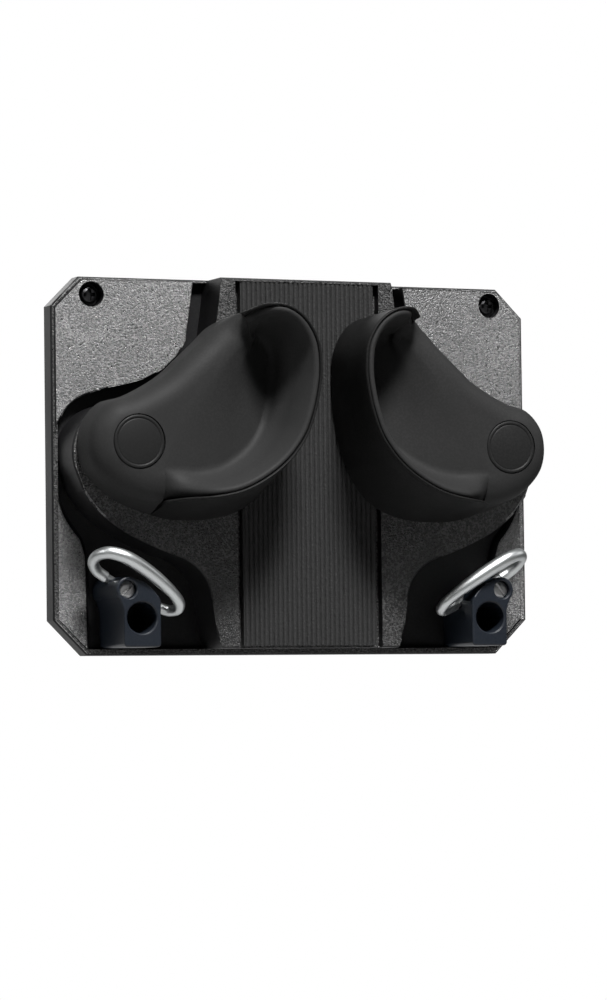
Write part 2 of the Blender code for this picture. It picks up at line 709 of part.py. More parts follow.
def loft(rings, side, cap=True):
    """A bmesh through rings of (x, depth, z), each a list of as many points, and its last loop of edges."""
    bm = bmesh.new()
    current = [bm.verts.new((-side * x, -d, z)) for x, d, z in rings[0]]
    bm.faces.new(current)
    edges = [bm.edges.get(pair) for pair in zip(current, current[1:] + current[:1])]
    for points in rings[1:]:
        new = bmesh.ops.extrude_edge_only(bm, edges=edges)["geom"]
        fresh = {g for g in new if isinstance(g, bmesh.types.BMVert)}
        grow = {}
        for old in current:
            grow[old] = next(e.other_vert(old) for e in old.link_edges if e.other_vert(old) in fresh)
        current = [grow[old] for old in current]
        for vert, (x, d, z) in zip(current, points):
            vert.co = (-side * x, -d, z)
        edges = [bm.edges.get(pair) for pair in zip(current, current[1:] + current[:1])]
    if cap:
        bm.faces.new(current)
    return bm, edges


def ring_at(outline, insets, depths):
    """A ring of (x, depth, z) drawn in from an outline."""
    return [(x, d, z) for (x, z), d in zip(grown(outline, [-inset for inset in insets]), depths)]


def arm_rings():
    """Rings of the arm's body: back, wall, rounded edge or lip, and the dish's wall down to its foot."""
    back, front, depth, dish, lip = arm_curves()
    under_lip = [GRIP_LIP_T + GAP if in_grip(i) else 0 for i in range(len(front))]
    back = grown(back, [-(GRIP_T + GAP) if in_grip(i) else 0 for i in range(len(back))])
    edge = grown(front, [-under for under in under_lip])
    rings = [[(x, ARM_BACK_D, z) for x, z in back]]
    wall = []
    for (xb, zb), (xf, zf), d, k in zip(back, edge, depth, lip):
        top = d - blend(5.5 * MM, 0.8 * MM, k)
        share = (top - ARM_BACK_D) / (d - ARM_BACK_D)
        wall.append((blend(xb, xf, share), top, blend(zb, zf, share)))
    rings.append(wall)
    steps = (
        (1.0 * MM, -1.8 * MM, 0.35 * MM, -0.15 * MM),
        (3.0 * MM, 1.3 * MM, 1.8 * MM, -0.45 * MM),
    )
    for hub_inset, hub_lift, lip_inset, lip_lift in steps:
        insets = [under + blend(hub_inset, lip_inset, k) for under, k in zip(under_lip, lip)]
        depths = [d + blend(hub_lift, lip_lift, k) for d, k in zip(depth, lip)]
        rings.append(ring_at(front, insets, depths))
    insets = [blend(5.5 * MM, 6.5 * MM, k) for k in lip]
    depths = [blend(ARM_FACE_D - 0.4 * MM, (d + f) / 2, k) for d, f, k in zip(depth, dish, lip)]
    rings.append(ring_at(front, insets, depths))
    insets = [blend(ARM_ROUND, ARM_WALL_INSET, k) for k in lip]
    rings.append(ring_at(front, insets, dish))
    return rings


def fill_dish(bm, edges):
    """Fills the dish inside a closed loop of edges with a grid, and relaxes it like a stretched skin."""
    count = len(edges)
    start = ARM_STEPS
    ends = DISH_END_STEPS
    rail = (count - 2 * ends) // 2
    lower = [edges[(start + ends + i) % count] for i in range(rail)]
    upper = [edges[(start + 2 * ends + rail + i) % count] for i in range(rail)]
    border = {v for edge in edges for v in edge.verts}
    faces = bmesh.ops.grid_fill(bm, edges=lower + upper)["faces"]
    inner = list({v for face in faces for v in face.verts} - border)
    for _ in range(20):
        bmesh.ops.smooth_vert(bm, verts=inner, factor=0.5, use_axis_x=True, use_axis_z=True)
    free = []
    for vert in inner:
        if hypot(vert.co.x, vert.co.z) < ARM_HUB_FLAT_R:
            vert.co.y = -ARM_FACE_D
        else:
            free.append(vert)
    for _ in range(400):
        bmesh.ops.smooth_vert(bm, verts=free, factor=0.5, use_axis_y=True)


def build_arm(name, side, axis):
    """The swinging arm, with its seats for the thrust washer, bush, front washer and cap."""
    material = finish(f"{name}_arm_rubber", (0.045, 0.045, 0.047), 0.6)
    bm, edges = loft(arm_rings(), side, cap=False)
    fill_dish(bm, edges)
    arm = place(bm, f"{name}_arm", material, axis, smooth=True)
    thrust, bush, washer, nut = pivot_stack()
    cap_back = ARM_FACE_D - CAP_T
    seats = {
        "thrust_seat": (THRUST_R + GAP, ARM_BACK_D - OVER, thrust + THRUST_T + GAP),
        "bush_bore": (BUSH_R + GAP, ARM_BACK_D - 2 * OVER, ARM_FACE_D),
        "nut_well": (CAP_SKIRT_R + GAP, washer, ARM_FACE_D + 2 * OVER),
        "cap_seat": (CAP_R + GAP, cap_back - GAP, ARM_FACE_D + OVER),
    }
    for seat, (radius, back, front) in seats.items():
        cut(arm, place(cylinder(0, 0, radius, back, front, 48), f"{name}_{seat}", parent=axis))
    return arm


def build_grip(name, side, axis):
    """The rubber grip around the arm's working edge, thick at the back and thin at the lip."""
    material = finish(f"{name}_grip_rubber", (0.04, 0.04, 0.042), 0.7)
    back, front, depth, dish, lip = arm_curves()
    count = len(back)
    inner_back = grown(back, [-GRIP_T] * count)
    inner_lip = grown(front, [-GRIP_LIP_T] * count)
    rings = []
    for i in range(count):
        if in_grip(i):
            rings.append(
                [
                    (inner_back[i][0], ARM_BACK_D, inner_back[i][1]),
                    (back[i][0], ARM_BACK_D, back[i][1]),
                    (front[i][0], depth[i] - 0.6 * MM, front[i][1]),
                    (inner_lip[i][0], depth[i], inner_lip[i][1]),
                ]
            )
    bm, edges = loft(rings, side)
    return place(bm, f"{name}_grip_pad", material, axis, smooth=True)


def build_cap(name, axis):
    """The plain round cap that snaps over the lock nut."""
    material = finish(f"{name}_cap_plastic", (0.03, 0.03, 0.032), 0.45)
    back = ARM_FACE_D - CAP_T
    inner = CAP_SKIRT_R - CAP_SKIRT_T
    profile = [
        (inner, back),
        (inner, back - CAP_SKIRT_H),
        (CAP_SKIRT_R, back - CAP_SKIRT_H),
        (CAP_SKIRT_R, back),
        (CAP_R, back),
        (CAP_R, ARM_FACE_D - 0.5 * MM),
        (CAP_R - 0.5 * MM, ARM_FACE_D),
        (0, ARM_FACE_D),
    ]
    bm = bmesh.new()
    verts = [bm.verts.new((0, -back, 0))] + [bm.verts.new((r, -d, 0)) for r, d in profile]
    edges = [bm.edges.new(pair) for pair in zip(verts, verts[1:])]
    bmesh.ops.spin(
        bm, geom=verts + edges, cent=(0, 0, 0), axis=(0, 1, 0), angle=2 * pi, steps=48, use_merge=True
    )
    bmesh.ops.remove_doubles(bm, verts=bm.verts, dist=0.001 * MM)
    return place(bm, f"{name}_pivot_cap", material, axis, smooth=True)


def post_outline():
    """A pole post seen from the front: a straight foot, a round screw boss and a sloping shoulder."""
    outer = -POST_X - POST_W / 2
    inner = -POST_X + POST_W / 2
    r = POST_CORNER_R
    foot_in = arc(inner - r, POST_FOOT_Z + r, r, 0, -90, 3)
    foot_out = arc(outer + r, POST_FOOT_Z + r, r, -90, -180, 3)
    boss = arc(-POST_SCREW_X, POST_SCREW_Z, POST_BOSS_R, 225, 62, 10)
    drop = [(-8.7, 3.7), (-5.4, 1.5), (-2.4, -1.7), (0, -5.6)]
    shoulder = [(inner + across * MM, POST_SCREW_Z + up * MM) for across, up in drop]
    neck = (outer, POST_SCREW_Z - 10.1 * MM)
    return foot_in + foot_out + [neck] + boss + shoulder


def chamfered_bore(x, z, radius, back, front, chamfer):
    """A cutter for a blind bore whose mouth, at the front depth, is chamfered."""
    top = front + OVER
    profile = [(0, back), (radius, back), (radius, front - chamfer), (radius + chamfer + OVER, top), (0, top)]
    bm = turned(profile, x, z)
    bmesh.ops.dissolve_verts(bm, verts=[v for v in bm.verts if len(v.link_edges) == ROUND])
    return bm


def loop_frame(side):
    """Turns a loop's own frame into the rack's: X along its hinge, inwards and down, Z out to its limb."""
    slope = radians(LOOP_SLOPE)
    tilt = radians(LOOP_TILT)
    along = Vector((-side * cos(slope), 0, -sin(slope)))
    up = Vector((-side * sin(slope), 0, cos(slope)))
    reach = up * cos(tilt) + Vector((0, -1, 0)) * sin(tilt)
    third = reach.cross(along)
    turn = Matrix((along, third, reach)).transposed().to_4x4()
    return turn


def loop_place(side):
    return Vector((side * LOOP_X, -LOOP_D, LOOP_Z))


def build_post(name, side):
    """A pole post, with its bore for the wall screw, its own screw and the loop's two sockets."""
    material = finish(f"{name}_post_plastic", (0.035, 0.042, 0.055), 0.35)
    back = FLOOR_D + GAP
    bm = prism(mirrored(post_outline(), side), back, POST_D)
    bevel_front(bm, POST_D, POST_BEVEL)
    post = place(bm, f"{name}_pole_post", material)
    x = side * POST_BORE_X
    bore = chamfered_bore(x, POST_BORE_Z, POST_BORE_R, post_floor_depth(), POST_D, POST_CHAMFER)
    hole = cylinder(x, POST_BORE_Z, WALL_SCREW_HOLE_R, back - OVER, POST_D)
    cut(post, place(bore, f"{name}_post_bore"), place(hole, f"{name}_post_hole"))
    x = side * POST_SCREW_X
    seat = POST_D - POST_SCREW_SINK
    sink = chamfered_bore(x, POST_SCREW_Z, POST_SCREW_HEAD_R + GAP, seat, POST_D, POST_CHAMFER)
    shank = cylinder(x, POST_SCREW_Z, POST_SCREW_R + GAP, back - OVER, POST_D)
    cut(post, place(sink, f"{name}_head_well"), place(shank, f"{name}_shank_hole"))
    frame = Matrix.Translation(loop_place(side)) @ loop_frame(side)
    for label, inner, outer in (
        ("outer_socket", LOOP_OUTER_PIN + GAP, -POST_W),
        ("inner_socket", LOOP_INNER_PIN - GAP, POST_W),
    ):
        bm = bmesh.new()
        turn = Matrix.Translation(((inner + outer) / 2, 0, 0)) @ Matrix.Rotation(radians(90), 4, "Y")
        bmesh.ops.create_cone(
            bm,
            cap_ends=True,
            segments=24,
            radius1=LOOP_PIN_R + LOOP_FIT,
            radius2=LOOP_PIN_R + LOOP_FIT,
            depth=abs(outer - inner),
            matrix=frame @ turn,
        )
        cut(post, place(bm, f"{name}_{label}"))
    steel = finish(f"{name}_post_steel", (0.7, 0.7, 0.7), 0.25, 1.0)
    length = seat + GAP - POST_SCREW_TIP_D
    screw(
        f"{name}_post_screw",
        x,
        POST_SCREW_Z,
        POST_SCREW_HEAD_R,
        POST_SCREW_HEAD_T,
        POST_SCREW_R,
        seat + GAP,
        length,
        steel,
        cross=False,
    )
    return post


# Strap loop seen along its plane, in mm along the hinge and out from it
LOOP_ROWS = [
    (-14.5, 0.0),
    (-20.0, 1.0),
    (-24.6, 5.0),
    (-25.6, 11.0),
    (-22.6, 16.6),
    (-16.0, 19.4),
    (-8.0, 19.4),
    (0.5, 18.0),
    (9.0, 16.0),
    (16.5, 13.6),
    (22.0, 10.2),
    (24.0, 5.6),
    (21.4, 1.4),
    (16.5, 0.0),
]


def loop_route():
    """The rod's centre line in the loop's frame, along the hinge and out from it, with its radius."""
    wide = LOOP_SPAN / ((LOOP_ROWS[11][0] - LOOP_ROWS[3][0]) * MM)
    high = LOOP_RISE / (LOOP_ROWS[5][1] * MM)
    rod = []
    for x, z in smooth_through(LOOP_ROWS, 3):
        swell = max(0, 1 - ((x + 6) / 22) ** 2) * min(max((z - 8) / 8, 0), 1)
        rod.append((x * MM * wide, z * MM * high, blend(LOOP_ROD_R, LOOP_BOW_R, swell)))
    outer_x = rod[0][0] + 0.6 * MM
    inner_x = rod[-1][0] - 3 * MM
    outer = [(LOOP_OUTER_PIN, 0, LOOP_PIN_R), (outer_x + LOOP_NECK, 0, LOOP_PIN_R), (outer_x, 0, LOOP_ROD_R)]
    inner = [(inner_x, 0, LOOP_ROD_R), (inner_x - LOOP_NECK, 0, LOOP_PIN_R), (LOOP_INNER_PIN, 0, LOOP_PIN_R)]
    return outer + rod + inner


def build_loop(name, axis):
    """A strap loop: one bent rod whose turned-down ends sit in the post's sockets."""
    material = finish(f"{name}_loop_aluminium", (0.75, 0.76, 0.76), 0.3, 1.0)
    curve = bpy.data.curves.new(f"{name}_strap_loop", "CURVE")
    curve.dimensions = "3D"
    curve.bevel_depth = LOOP_ROD_R
    curve.bevel_resolution = 3
    curve.use_fill_caps = True
    curve.materials.append(material)
    route = loop_route()
    spline = curve.splines.new("POLY")
    spline.points.add(len(route) - 1)
    spline.use_smooth = True
    for point, (x, z, radius) in zip(spline.points, route):
        point.co = (x, 0, z, 1)
        point.radius = radius / LOOP_ROD_R
    obj = bpy.data.objects.new(f"{name}_strap_loop", curve)
    obj.parent = axis
    bpy.context.scene.collection.objects.link(obj)
    return obj


def main():
    remove_everything()
    build_base()
    build_channel_pad()
    build_wall_screws()
    for name, side in SIDES.items():
        build_pivot(name, side)
        build_post(name, side)
        arm_axis = axis_empty(f"{name}_arm_axis", (side * PIVOT_X, 0, PIVOT_Z))
        build_arm(name, side, arm_axis)
        build_grip(name, side, arm_axis)
        build_cap(name, arm_axis)
        loop_axis = axis_empty(f"{name}_loop_axis", loop_place(side), loop_frame(side))
        build_loop(name, loop_axis)


main()
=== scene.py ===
# %% [markdown]
# # A ski wall rack, dressed for the camera
# The rack is a moulded plate with two rubber-covered arms that swing on pivots and grip what hangs
# between them. Below them stand two small posts, each with a bore and a bent loop. The solids come from
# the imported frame. This lesson gives each of them its finish, and models again the pieces whose soft
# edges a plain solid can't show. The frame is in metres, and the sizes of pieces below in millimetres.

from math import asin, cos, hypot, pi, radians, sin

import bmesh
import bpy
from mathutils import Matrix, Vector


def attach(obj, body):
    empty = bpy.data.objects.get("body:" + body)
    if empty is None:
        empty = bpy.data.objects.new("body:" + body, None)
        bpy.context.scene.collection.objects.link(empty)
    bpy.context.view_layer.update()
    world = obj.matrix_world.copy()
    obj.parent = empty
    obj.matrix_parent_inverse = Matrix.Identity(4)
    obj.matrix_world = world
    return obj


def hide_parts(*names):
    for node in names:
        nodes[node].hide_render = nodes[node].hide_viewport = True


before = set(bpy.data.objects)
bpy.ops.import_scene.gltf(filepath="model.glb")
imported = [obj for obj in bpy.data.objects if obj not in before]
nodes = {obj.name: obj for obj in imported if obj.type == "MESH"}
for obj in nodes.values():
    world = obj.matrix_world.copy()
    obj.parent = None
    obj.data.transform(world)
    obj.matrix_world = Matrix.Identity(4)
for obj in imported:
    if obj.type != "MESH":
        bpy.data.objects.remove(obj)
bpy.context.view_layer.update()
MM = 0.001
SIDES = {"left": -1, "right": 1}
print("solids in the frame:", len(nodes))

# %% [markdown]
# ## The camera
# The rack is seen from its left and from just below its middle, with a long lens. Such a camera is
# placed from two angles and a distance: its axes are worked out first, and its matrix is made of them.
# A small step sideways and down puts the rack where it sits in the picture, so no shift is needed.

# %% Camera
# Angles in degrees, distance and step in metres, lens in millimetres.
CAMERA_AZIMUTH = -23.582
CAMERA_ELEVATION = -2.941
CAMERA_ROLL = -0.711
CAMERA_DISTANCE = 2.15
CAMERA_STEP = Vector((0.009285, 0, -0.01508))
CAMERA_LENS = 155.76


def direction(azimuth, elevation):
    """The direction from the rack that two angles in degrees give."""
    a, e = radians(azimuth), radians(elevation)
    return Vector((sin(a) * cos(e), -cos(a) * cos(e), sin(e)))


def camera_axes(azimuth, elevation, roll):
    """The camera's right, up and backward directions."""
    r, back = radians(roll), direction(azimuth, elevation)
    right = Vector((0, 0, 1)).cross(back).normalized()
    up = back.cross(right)
    return cos(r) * right + sin(r) * up, cos(r) * up - sin(r) * right, back


right, up, back = camera_axes(CAMERA_AZIMUTH, CAMERA_ELEVATION, CAMERA_ROLL)
lens = bpy.data.cameras.new("camera")
lens.sensor_fit = "VERTICAL"
lens.sensor_height = 36
lens.lens = CAMERA_LENS
camera = bpy.data.objects.new("camera", lens)
camera.matrix_world = Matrix.Translation(back * CAMERA_DISTANCE + CAMERA_STEP) @ Matrix(
    (right, up, back)
).transposed().to_4x4()
bpy.context.collection.objects.link(camera)
bpy.context.scene.camera = camera
print("camera at", [round(v, 3) for v in camera.location])

# %% [markdown]
# ## Light, floor and background
# Black plastic and rubber show themselves by gloss more than by colour, so the place of the lamps draws
# the picture. One small strong lamp stands high in front, which leaves the deep shadow in each palm and
# below the arms. Weak ones fill from the left and the right, and a broad one lights the back for other
# views. The world is dim for the light that falls on the rack, and white only to the camera and to the
# reflections that look behind it. The floor is pale to the camera but sends back only half its light, so
# that the undersides stay dark.

# %% Node helpers
def wire(tree, *links):
    """Links pairs of sockets."""
    for out, into in links:
        tree.links.new(out, into)


def fill(node, **values):
    """Sets a node's inputs by name."""
    for label, value in values.items():
        node.inputs[label].default_value = value


def add_node(tree, kind, **values):
    """A new shader node of a kind, with some of its inputs set."""
    node = tree.nodes.new(f"ShaderNode{kind}")
    fill(node, **values)
    return node


def feed(tree, value, socket):
    """Sets a socket to a number, or links it to another socket."""
    if isinstance(value, (int, float)):
        socket.default_value = value
    else:
        tree.links.new(value, socket)


def maths(tree, operation, a, b):
    """A math node on two values, each a number or a socket."""
    node = add_node(tree, "Math")
    node.operation = operation
    feed(tree, a, node.inputs[0])
    feed(tree, b, node.inputs[1])
    return node.outputs[0]


def share_of(tree, value, low, high):
    """How far a value is on its way from low to high, between 0 and 1."""
    node = add_node(tree, "MapRange", **{"From Min": low, "From Max": high})
    tree.links.new(value, node.inputs["Value"])
    return node.outputs[0]


print("helpers for nodes ready")

# %% World
WORLD_LEVEL = 0.02
WORLD_COLOUR = (0.94, 0.97, 1.0, 1)
WHITE_BEHIND = (0.6, 0.85)  # how far a reflection points backwards where the white starts and is full
scene = bpy.context.scene
scene.view_settings.view_transform = "Standard"
scene.world = world = bpy.data.worlds.new("studio")
world.use_nodes = True
tree = world.node_tree
tree.nodes.clear()
white = add_node(tree, "Background", Color=(1, 1, 1, 1))
dim = add_node(tree, "Background", Color=WORLD_COLOUR, Strength=WORLD_LEVEL)
path = add_node(tree, "LightPath").outputs
parts = add_node(tree, "SeparateXYZ")
wire(tree, (add_node(tree, "TexCoord").outputs["Generated"], parts.inputs[0]))
seen = maths(tree, "MAXIMUM", path["Is Camera Ray"], path["Is Transmission Ray"])
behind = share_of(tree, parts.outputs["Y"], *WHITE_BEHIND)
glossy = maths(tree, "MULTIPLY", behind, path["Is Glossy Ray"])
mix = add_node(tree, "MixShader")
out = add_node(tree, "OutputWorld")
wire(
    tree,
    (maths(tree, "MAXIMUM", seen, glossy), mix.inputs[0]),
    (dim.outputs[0], mix.inputs[1]),
    (white.outputs[0], mix.inputs[2]),
    (mix.outputs[0], out.inputs["Surface"]),
)
print("world:", len(tree.nodes), "nodes")


# %% Lamps
# Azimuth and elevation in degrees, distance and size in metres, power in watts.
LAMPS = {
    "key_lamp": (-3, 54, 2.0, 0.4, 86),
    "left_lamp": (-78, 24, 2.0, 0.7, 8),
    "side_lamp": (75, 25, 2.2, 1.0, 6),
    "back_lamp": (170, 25, 2.2, 1.6, 26),
}


def add_lamp(name, azimuth, elevation, distance, size, power):
    """A square soft lamp, placed by two angles and aimed at the middle of the rack."""
    data = bpy.data.lights.new(name, "AREA")
    data.shape = "SQUARE"
    data.size = size
    data.energy = power
    away = direction(azimuth, elevation)
    turn = away.to_track_quat("Z", "Y").to_matrix().to_4x4()
    lamp = bpy.data.objects.new(name, data)
    lamp.matrix_world = Matrix.Translation(away * distance) @ turn
    bpy.context.collection.objects.link(lamp)


for name, values in LAMPS.items():
    add_lamp(name, *values)
print("lamps:", len(LAMPS))


# %% Floor
FLOOR_HALF = 1.6
FLOOR_PLACE = (0, -0.4, -0.62)


def floor_finish():
    """Pale paint to the camera, with a soft shadow, that sends only half its light up at the rack."""
    paint = bpy.data.materials.new("floor_paint")
    paint.use_nodes = True
    tree = paint.node_tree
    shader = tree.nodes["Principled BSDF"]
    fill(shader, **{"Base Color": (0.86, 0.86, 0.86, 1), "Roughness": 0.9})
    dull = add_node(tree, "BsdfDiffuse", Color=(0.5, 0.5, 0.5, 1))
    seen = add_node(tree, "LightPath").outputs["Is Camera Ray"]
    mix = add_node(tree, "MixShader")
    wire(
        tree,
        (seen, mix.inputs[0]),
        (dull.outputs[0], mix.inputs[1]),
        (shader.outputs[0], mix.inputs[2]),
        (mix.outputs[0], tree.nodes["Material Output"].inputs["Surface"]),
    )
    return paint


bm = bmesh.new()
place = Matrix.Translation(FLOOR_PLACE)
bmesh.ops.create_grid(bm, x_segments=1, y_segments=1, size=FLOOR_HALF, matrix=place)
mesh = bpy.data.meshes.new("floor")
bm.to_mesh(mesh)
bm.free()
floor = bpy.data.objects.new("floor", mesh)
mesh.materials.append(floor_finish())
bpy.context.collection.objects.link(floor)
print("floor at", FLOOR_PLACE[2], "m")

# %% [markdown]
# ## Shared surface effects
# Moulded plastic carries the fine pits of its spark-eroded mould, and rubber a softer skin. Both are the
# same kind of noise at other scales, so one node group makes them: it gives a height for the bump and a
# small change of gloss. A second group strews pale specks over a colour, thicker in soft clouds; they
# are painted sparkle, glints of light on the grain put into the colour. Both measure their noise in
# cycles per metre.


# %% Node groups
def node_group(name, ins, outs):
    """An empty group with named float, colour or vector sockets."""
    group = bpy.data.node_groups.new(name, "ShaderNodeTree")
    for label, kind, value in ins:
        socket = group.interface.new_socket(label, in_out="INPUT", socket_type=f"NodeSocket{kind}")
        if value is not None:
            socket.default_value = value
    for label, kind in outs:
        group.interface.new_socket(label, in_out="OUTPUT", socket_type=f"NodeSocket{kind}")
    return group, group.nodes.new("NodeGroupInput"), group.nodes.new("NodeGroupOutput")


def noise_in(tree, vector, scale, detail, rough=0.5):
    """A noise texture; its scale is a number or a socket."""
    noise = add_node(tree, "TexNoise", Detail=detail, Roughness=rough)
    feed(tree, scale, noise.inputs["Scale"])
    tree.links.new(vector, noise.inputs["Vector"])
    return noise.outputs["Fac"]


def grain_group():
    """Fine pits of a moulded skin: a height, and a roughness around a middle value."""
    ins = [
        ("Vector", "Vector", None),
        ("Pits", "Float", 1200.0),
        ("Roughness", "Float", 0.45),
        ("Spread", "Float", 0.1),
    ]
    outs = [("Height", "Float"), ("Roughness", "Float")]
    group, start, end = node_group("moulded_grain", ins, outs)
    given = start.outputs
    pits = noise_in(group, given["Vector"], given["Pits"], detail=2.5, rough=0.6)
    cloudy = noise_in(group, given["Vector"], 45, detail=2)
    lift = maths(group, "MULTIPLY", maths(group, "SUBTRACT", cloudy, 0.5), 0.12)
    fleck = maths(group, "MULTIPLY", maths(group, "SUBTRACT", pits, 0.5), given["Spread"])
    total = maths(group, "ADD", maths(group, "ADD", given["Roughness"], lift), fleck)
    wire(group, (pits, end.inputs["Height"]), (total, end.inputs["Roughness"]))
    return group


def sparkle_group():
    """Strews crisp pale specks of painted sparkle over a colour, thicker in soft clouds."""
    ins = [
        ("Vector", "Vector", None),
        ("Colour", "Color", (0.03, 0.03, 0.03, 1)),
        # The pale colour of the painted sparkle, and how much of it is strewn.
        ("Dust", "Color", (0.15, 0.148, 0.145, 1)),
        ("Dustiness", "Float", 0.05),
    ]
    group, start, end = node_group("painted_sparkle", ins, [("Colour", "Color")])
    given = start.outputs
    clouds = share_of(group, noise_in(group, given["Vector"], 30, detail=4, rough=0.6), 0.2, 0.7)
    specks = share_of(group, noise_in(group, given["Vector"], 950, detail=1), 0.47, 0.57)
    share = maths(group, "MULTIPLY", maths(group, "MULTIPLY", clouds, specks), given["Dustiness"])
    mix = add_node(group, "Mix")
    mix.data_type = "RGBA"
    wire(
        group,
        (share, mix.inputs["Factor"]),
        (given["Colour"], mix.inputs["A"]),
        (given["Dust"], mix.inputs["B"]),
        (mix.outputs["Result"], end.inputs["Colour"]),
    )
    return group


GRAIN = grain_group()
SPARKLE = sparkle_group()
print("groups:", GRAIN.name, SPARKLE.name)

# %% [markdown]
# ## Finishes
# Every finish here is the same shader with other numbers: its colour, the size and depth of its grain,
# how much painted sparkle it carries, and its gloss. Black plastic is a very dark grey whose rough gloss
# does the work. The plate's outer faces have the most gloss and the most painted sparkle, pale specks
# that stand in for light glinting on them.


# %% Moulded finishes
def moulded(
    name, colour, roughness, pits, depth, spread=0.1, sparkle_amount=0.03, strength=0.6, gloss=0.5, **more
):
    """A moulded finish whose grain has its pits per metre and a depth in metres."""
    material = bpy.data.materials.new(name)
    material.use_nodes = True
    tree = material.node_tree
    shader = tree.nodes["Principled BSDF"]
    fill(shader, **{"Specular IOR Level": gloss}, **more)
    at = add_node(tree, "TexCoord").outputs["Object"]
    grain = add_node(tree, "Group")
    grain.node_tree = GRAIN
    fill(grain, Pits=pits, Roughness=roughness, Spread=spread)
    # Pale specks of painted sparkle, mixed into the base colour.
    sparkle_node = add_node(tree, "Group")
    sparkle_node.node_tree = SPARKLE
    fill(sparkle_node, Colour=(*colour, 1), Dustiness=sparkle_amount)
    bump = add_node(tree, "Bump", Strength=strength, Distance=depth)
    wire(
        tree,
        (at, grain.inputs["Vector"]),
        (at, sparkle_node.inputs["Vector"]),
        (sparkle_node.outputs["Colour"], shader.inputs["Base Color"]),
        (grain.outputs["Roughness"], shader.inputs["Roughness"]),
        (grain.outputs["Height"], bump.inputs["Height"]),
        (bump.outputs["Normal"], shader.inputs["Normal"]),
    )
    return material


def metal(name, colour, roughness):
    """Bare metal with a very fine grain that breaks its gloss."""
    return moulded(name, colour, roughness, 2600, 0.00002, 0.12, 0, strength=0.3, Metallic=1)


def plate_finish(name, sparkle_amount, gloss, ior):
    """The plate's coarse black plastic."""
    black = (0.006, 0.006, 0.0062)
    return moulded(name, black, 0.46, 1200, 0.0012, 1.4, sparkle_amount, 1.0, gloss, IOR=ior)


# The outer faces carry the most painted sparkle, and more gloss.
plate_grained = plate_finish("plate_grained", 0.45, 0.6, 1.5)
outer_grained = plate_finish("outer_grained", 1.0, 1.0, 1.85)
plate_smooth = moulded("plate_smooth", (0.004, 0.004, 0.0045), 0.5, 500, 0.00002, gloss=0.3)
pad_rubber = moulded("pad_rubber", (0.026, 0.026, 0.026), 0.55, 900, 0.0004, strength=1.0, gloss=0.2)
arm_rubber = moulded("arm_rubber", (0.021, 0.021, 0.021), 0.6, 1500, 0.00003, gloss=0.1)
grip_rubber = moulded("grip_rubber", (0.007, 0.007, 0.007), 0.6, 1500, 0.00003, gloss=0.12)
cap_plastic = moulded("cap_plastic", (0.012, 0.012, 0.012), 0.5, 1300, 0.00003, gloss=0.15)
post_plastic = moulded("post_plastic", (0.0065, 0.0095, 0.015), 0.44, 1400, 0.00003, gloss=0.4)
aluminium = metal("loop_aluminium", (0.6, 0.62, 0.62), 0.42)
post_steel = metal("post_steel", (0.55, 0.55, 0.55), 0.38)
black_steel = metal("black_steel", (0.05, 0.05, 0.052), 0.4)
pivot_steel = metal("pivot_steel", (0.4, 0.4, 0.41), 0.45)
nylon = moulded("pivot_nylon", (0.7, 0.68, 0.62), 0.5, 800, 0.00003)
print("finishes:", len(bpy.data.materials))

# %% [markdown]
# ## Drawing helpers
# Most pieces start as a few points on an outline. A smooth curve is drawn through them, and rings of that
# curve at other depths are joined into a skin. Depths are counted from the plate's back towards the room,
# so a depth of 30 mm is y = -0.03. The rack is the same on both sides, so a piece is drawn once for both.


# %% Curves through points
def smooth_through(points, steps, closed=False):
    """Points on a smooth curve through rows of numbers, with a few steps between each two."""
    count = len(points)
    last = count if closed else count - 1
    result = []
    for i in range(last):
        if closed:
            a, b, c, d = (points[(i + j) % count] for j in (-1, 0, 1, 2))
        else:
            a, b = points[max(i - 1, 0)], points[i]
            c, d = points[i + 1], points[min(i + 2, count - 1)]
        for step in range(steps):
            t = step / steps
            point = []
            for p, q, r, s in zip(a, b, c, d):
                square, cube = 2 * p - 5 * q + 4 * r - s, 3 * q - p - 3 * r + s
                point.append(0.5 * (2 * q + (r - p) * t + square * t**2 + cube * t**3))
            result.append(tuple(point))
    return result if closed else result + [tuple(points[-1])]


def outward(points):
    """Unit normals of a closed outline of (x, z), pointing out of it."""
    normals = []
    for i in range(len(points)):
        before, after = points[i - 1], points[(i + 1) % len(points)]
        along = Vector((after[0] - before[0], after[1] - before[1])).normalized()
        normals.append(Vector((along.y, -along.x)))
    area = sum(a[0] * b[1] - b[0] * a[1] for a, b in zip(points, points[1:] + points[:1]))
    return normals if area > 0 else [-n for n in normals]


def grown(points, amounts):
    """An outline moved out by an amount at each point, or in by a negative one."""
    return [(x + n.x * a, z + n.y * a) for (x, z), n, a in zip(points, outward(points), amounts)]


def blend(a, b, share):
    """The number a share of the way from a to b."""
    return a + (b - a) * share


print("a blend of 2 and 6:", blend(2, 6, 0.25))

# %% Skins from rings
MERGE = 1e-6  # metres


def spot(x, depth, z):
    """A place in metres, from millimetres."""
    return (x * MM, -depth * MM, z * MM)


def joined_rings(rings, place):
    """A skin through rings of as many points each, closed at the first, and its last ring's points."""
    bm = bmesh.new()
    loop = [bm.verts.new(place(p)) for p in rings[0]]
    bm.faces.new(loop)
    edges = [bm.edges.get(pair) for pair in zip(loop, loop[1:] + loop[:1])]
    for ring in rings[1:]:
        new = bmesh.ops.extrude_edge_only(bm, edges=edges)["geom"]
        fresh = {g for g in new if isinstance(g, bmesh.types.BMVert)}
        loop = [next(e.other_vert(v) for e in v.link_edges if e.other_vert(v) in fresh) for v in loop]
        for vert, point in zip(loop, ring):
            vert.co = place(point)
        edges = [bm.edges.get(pair) for pair in zip(loop, loop[1:] + loop[:1])]
    return bm, loop


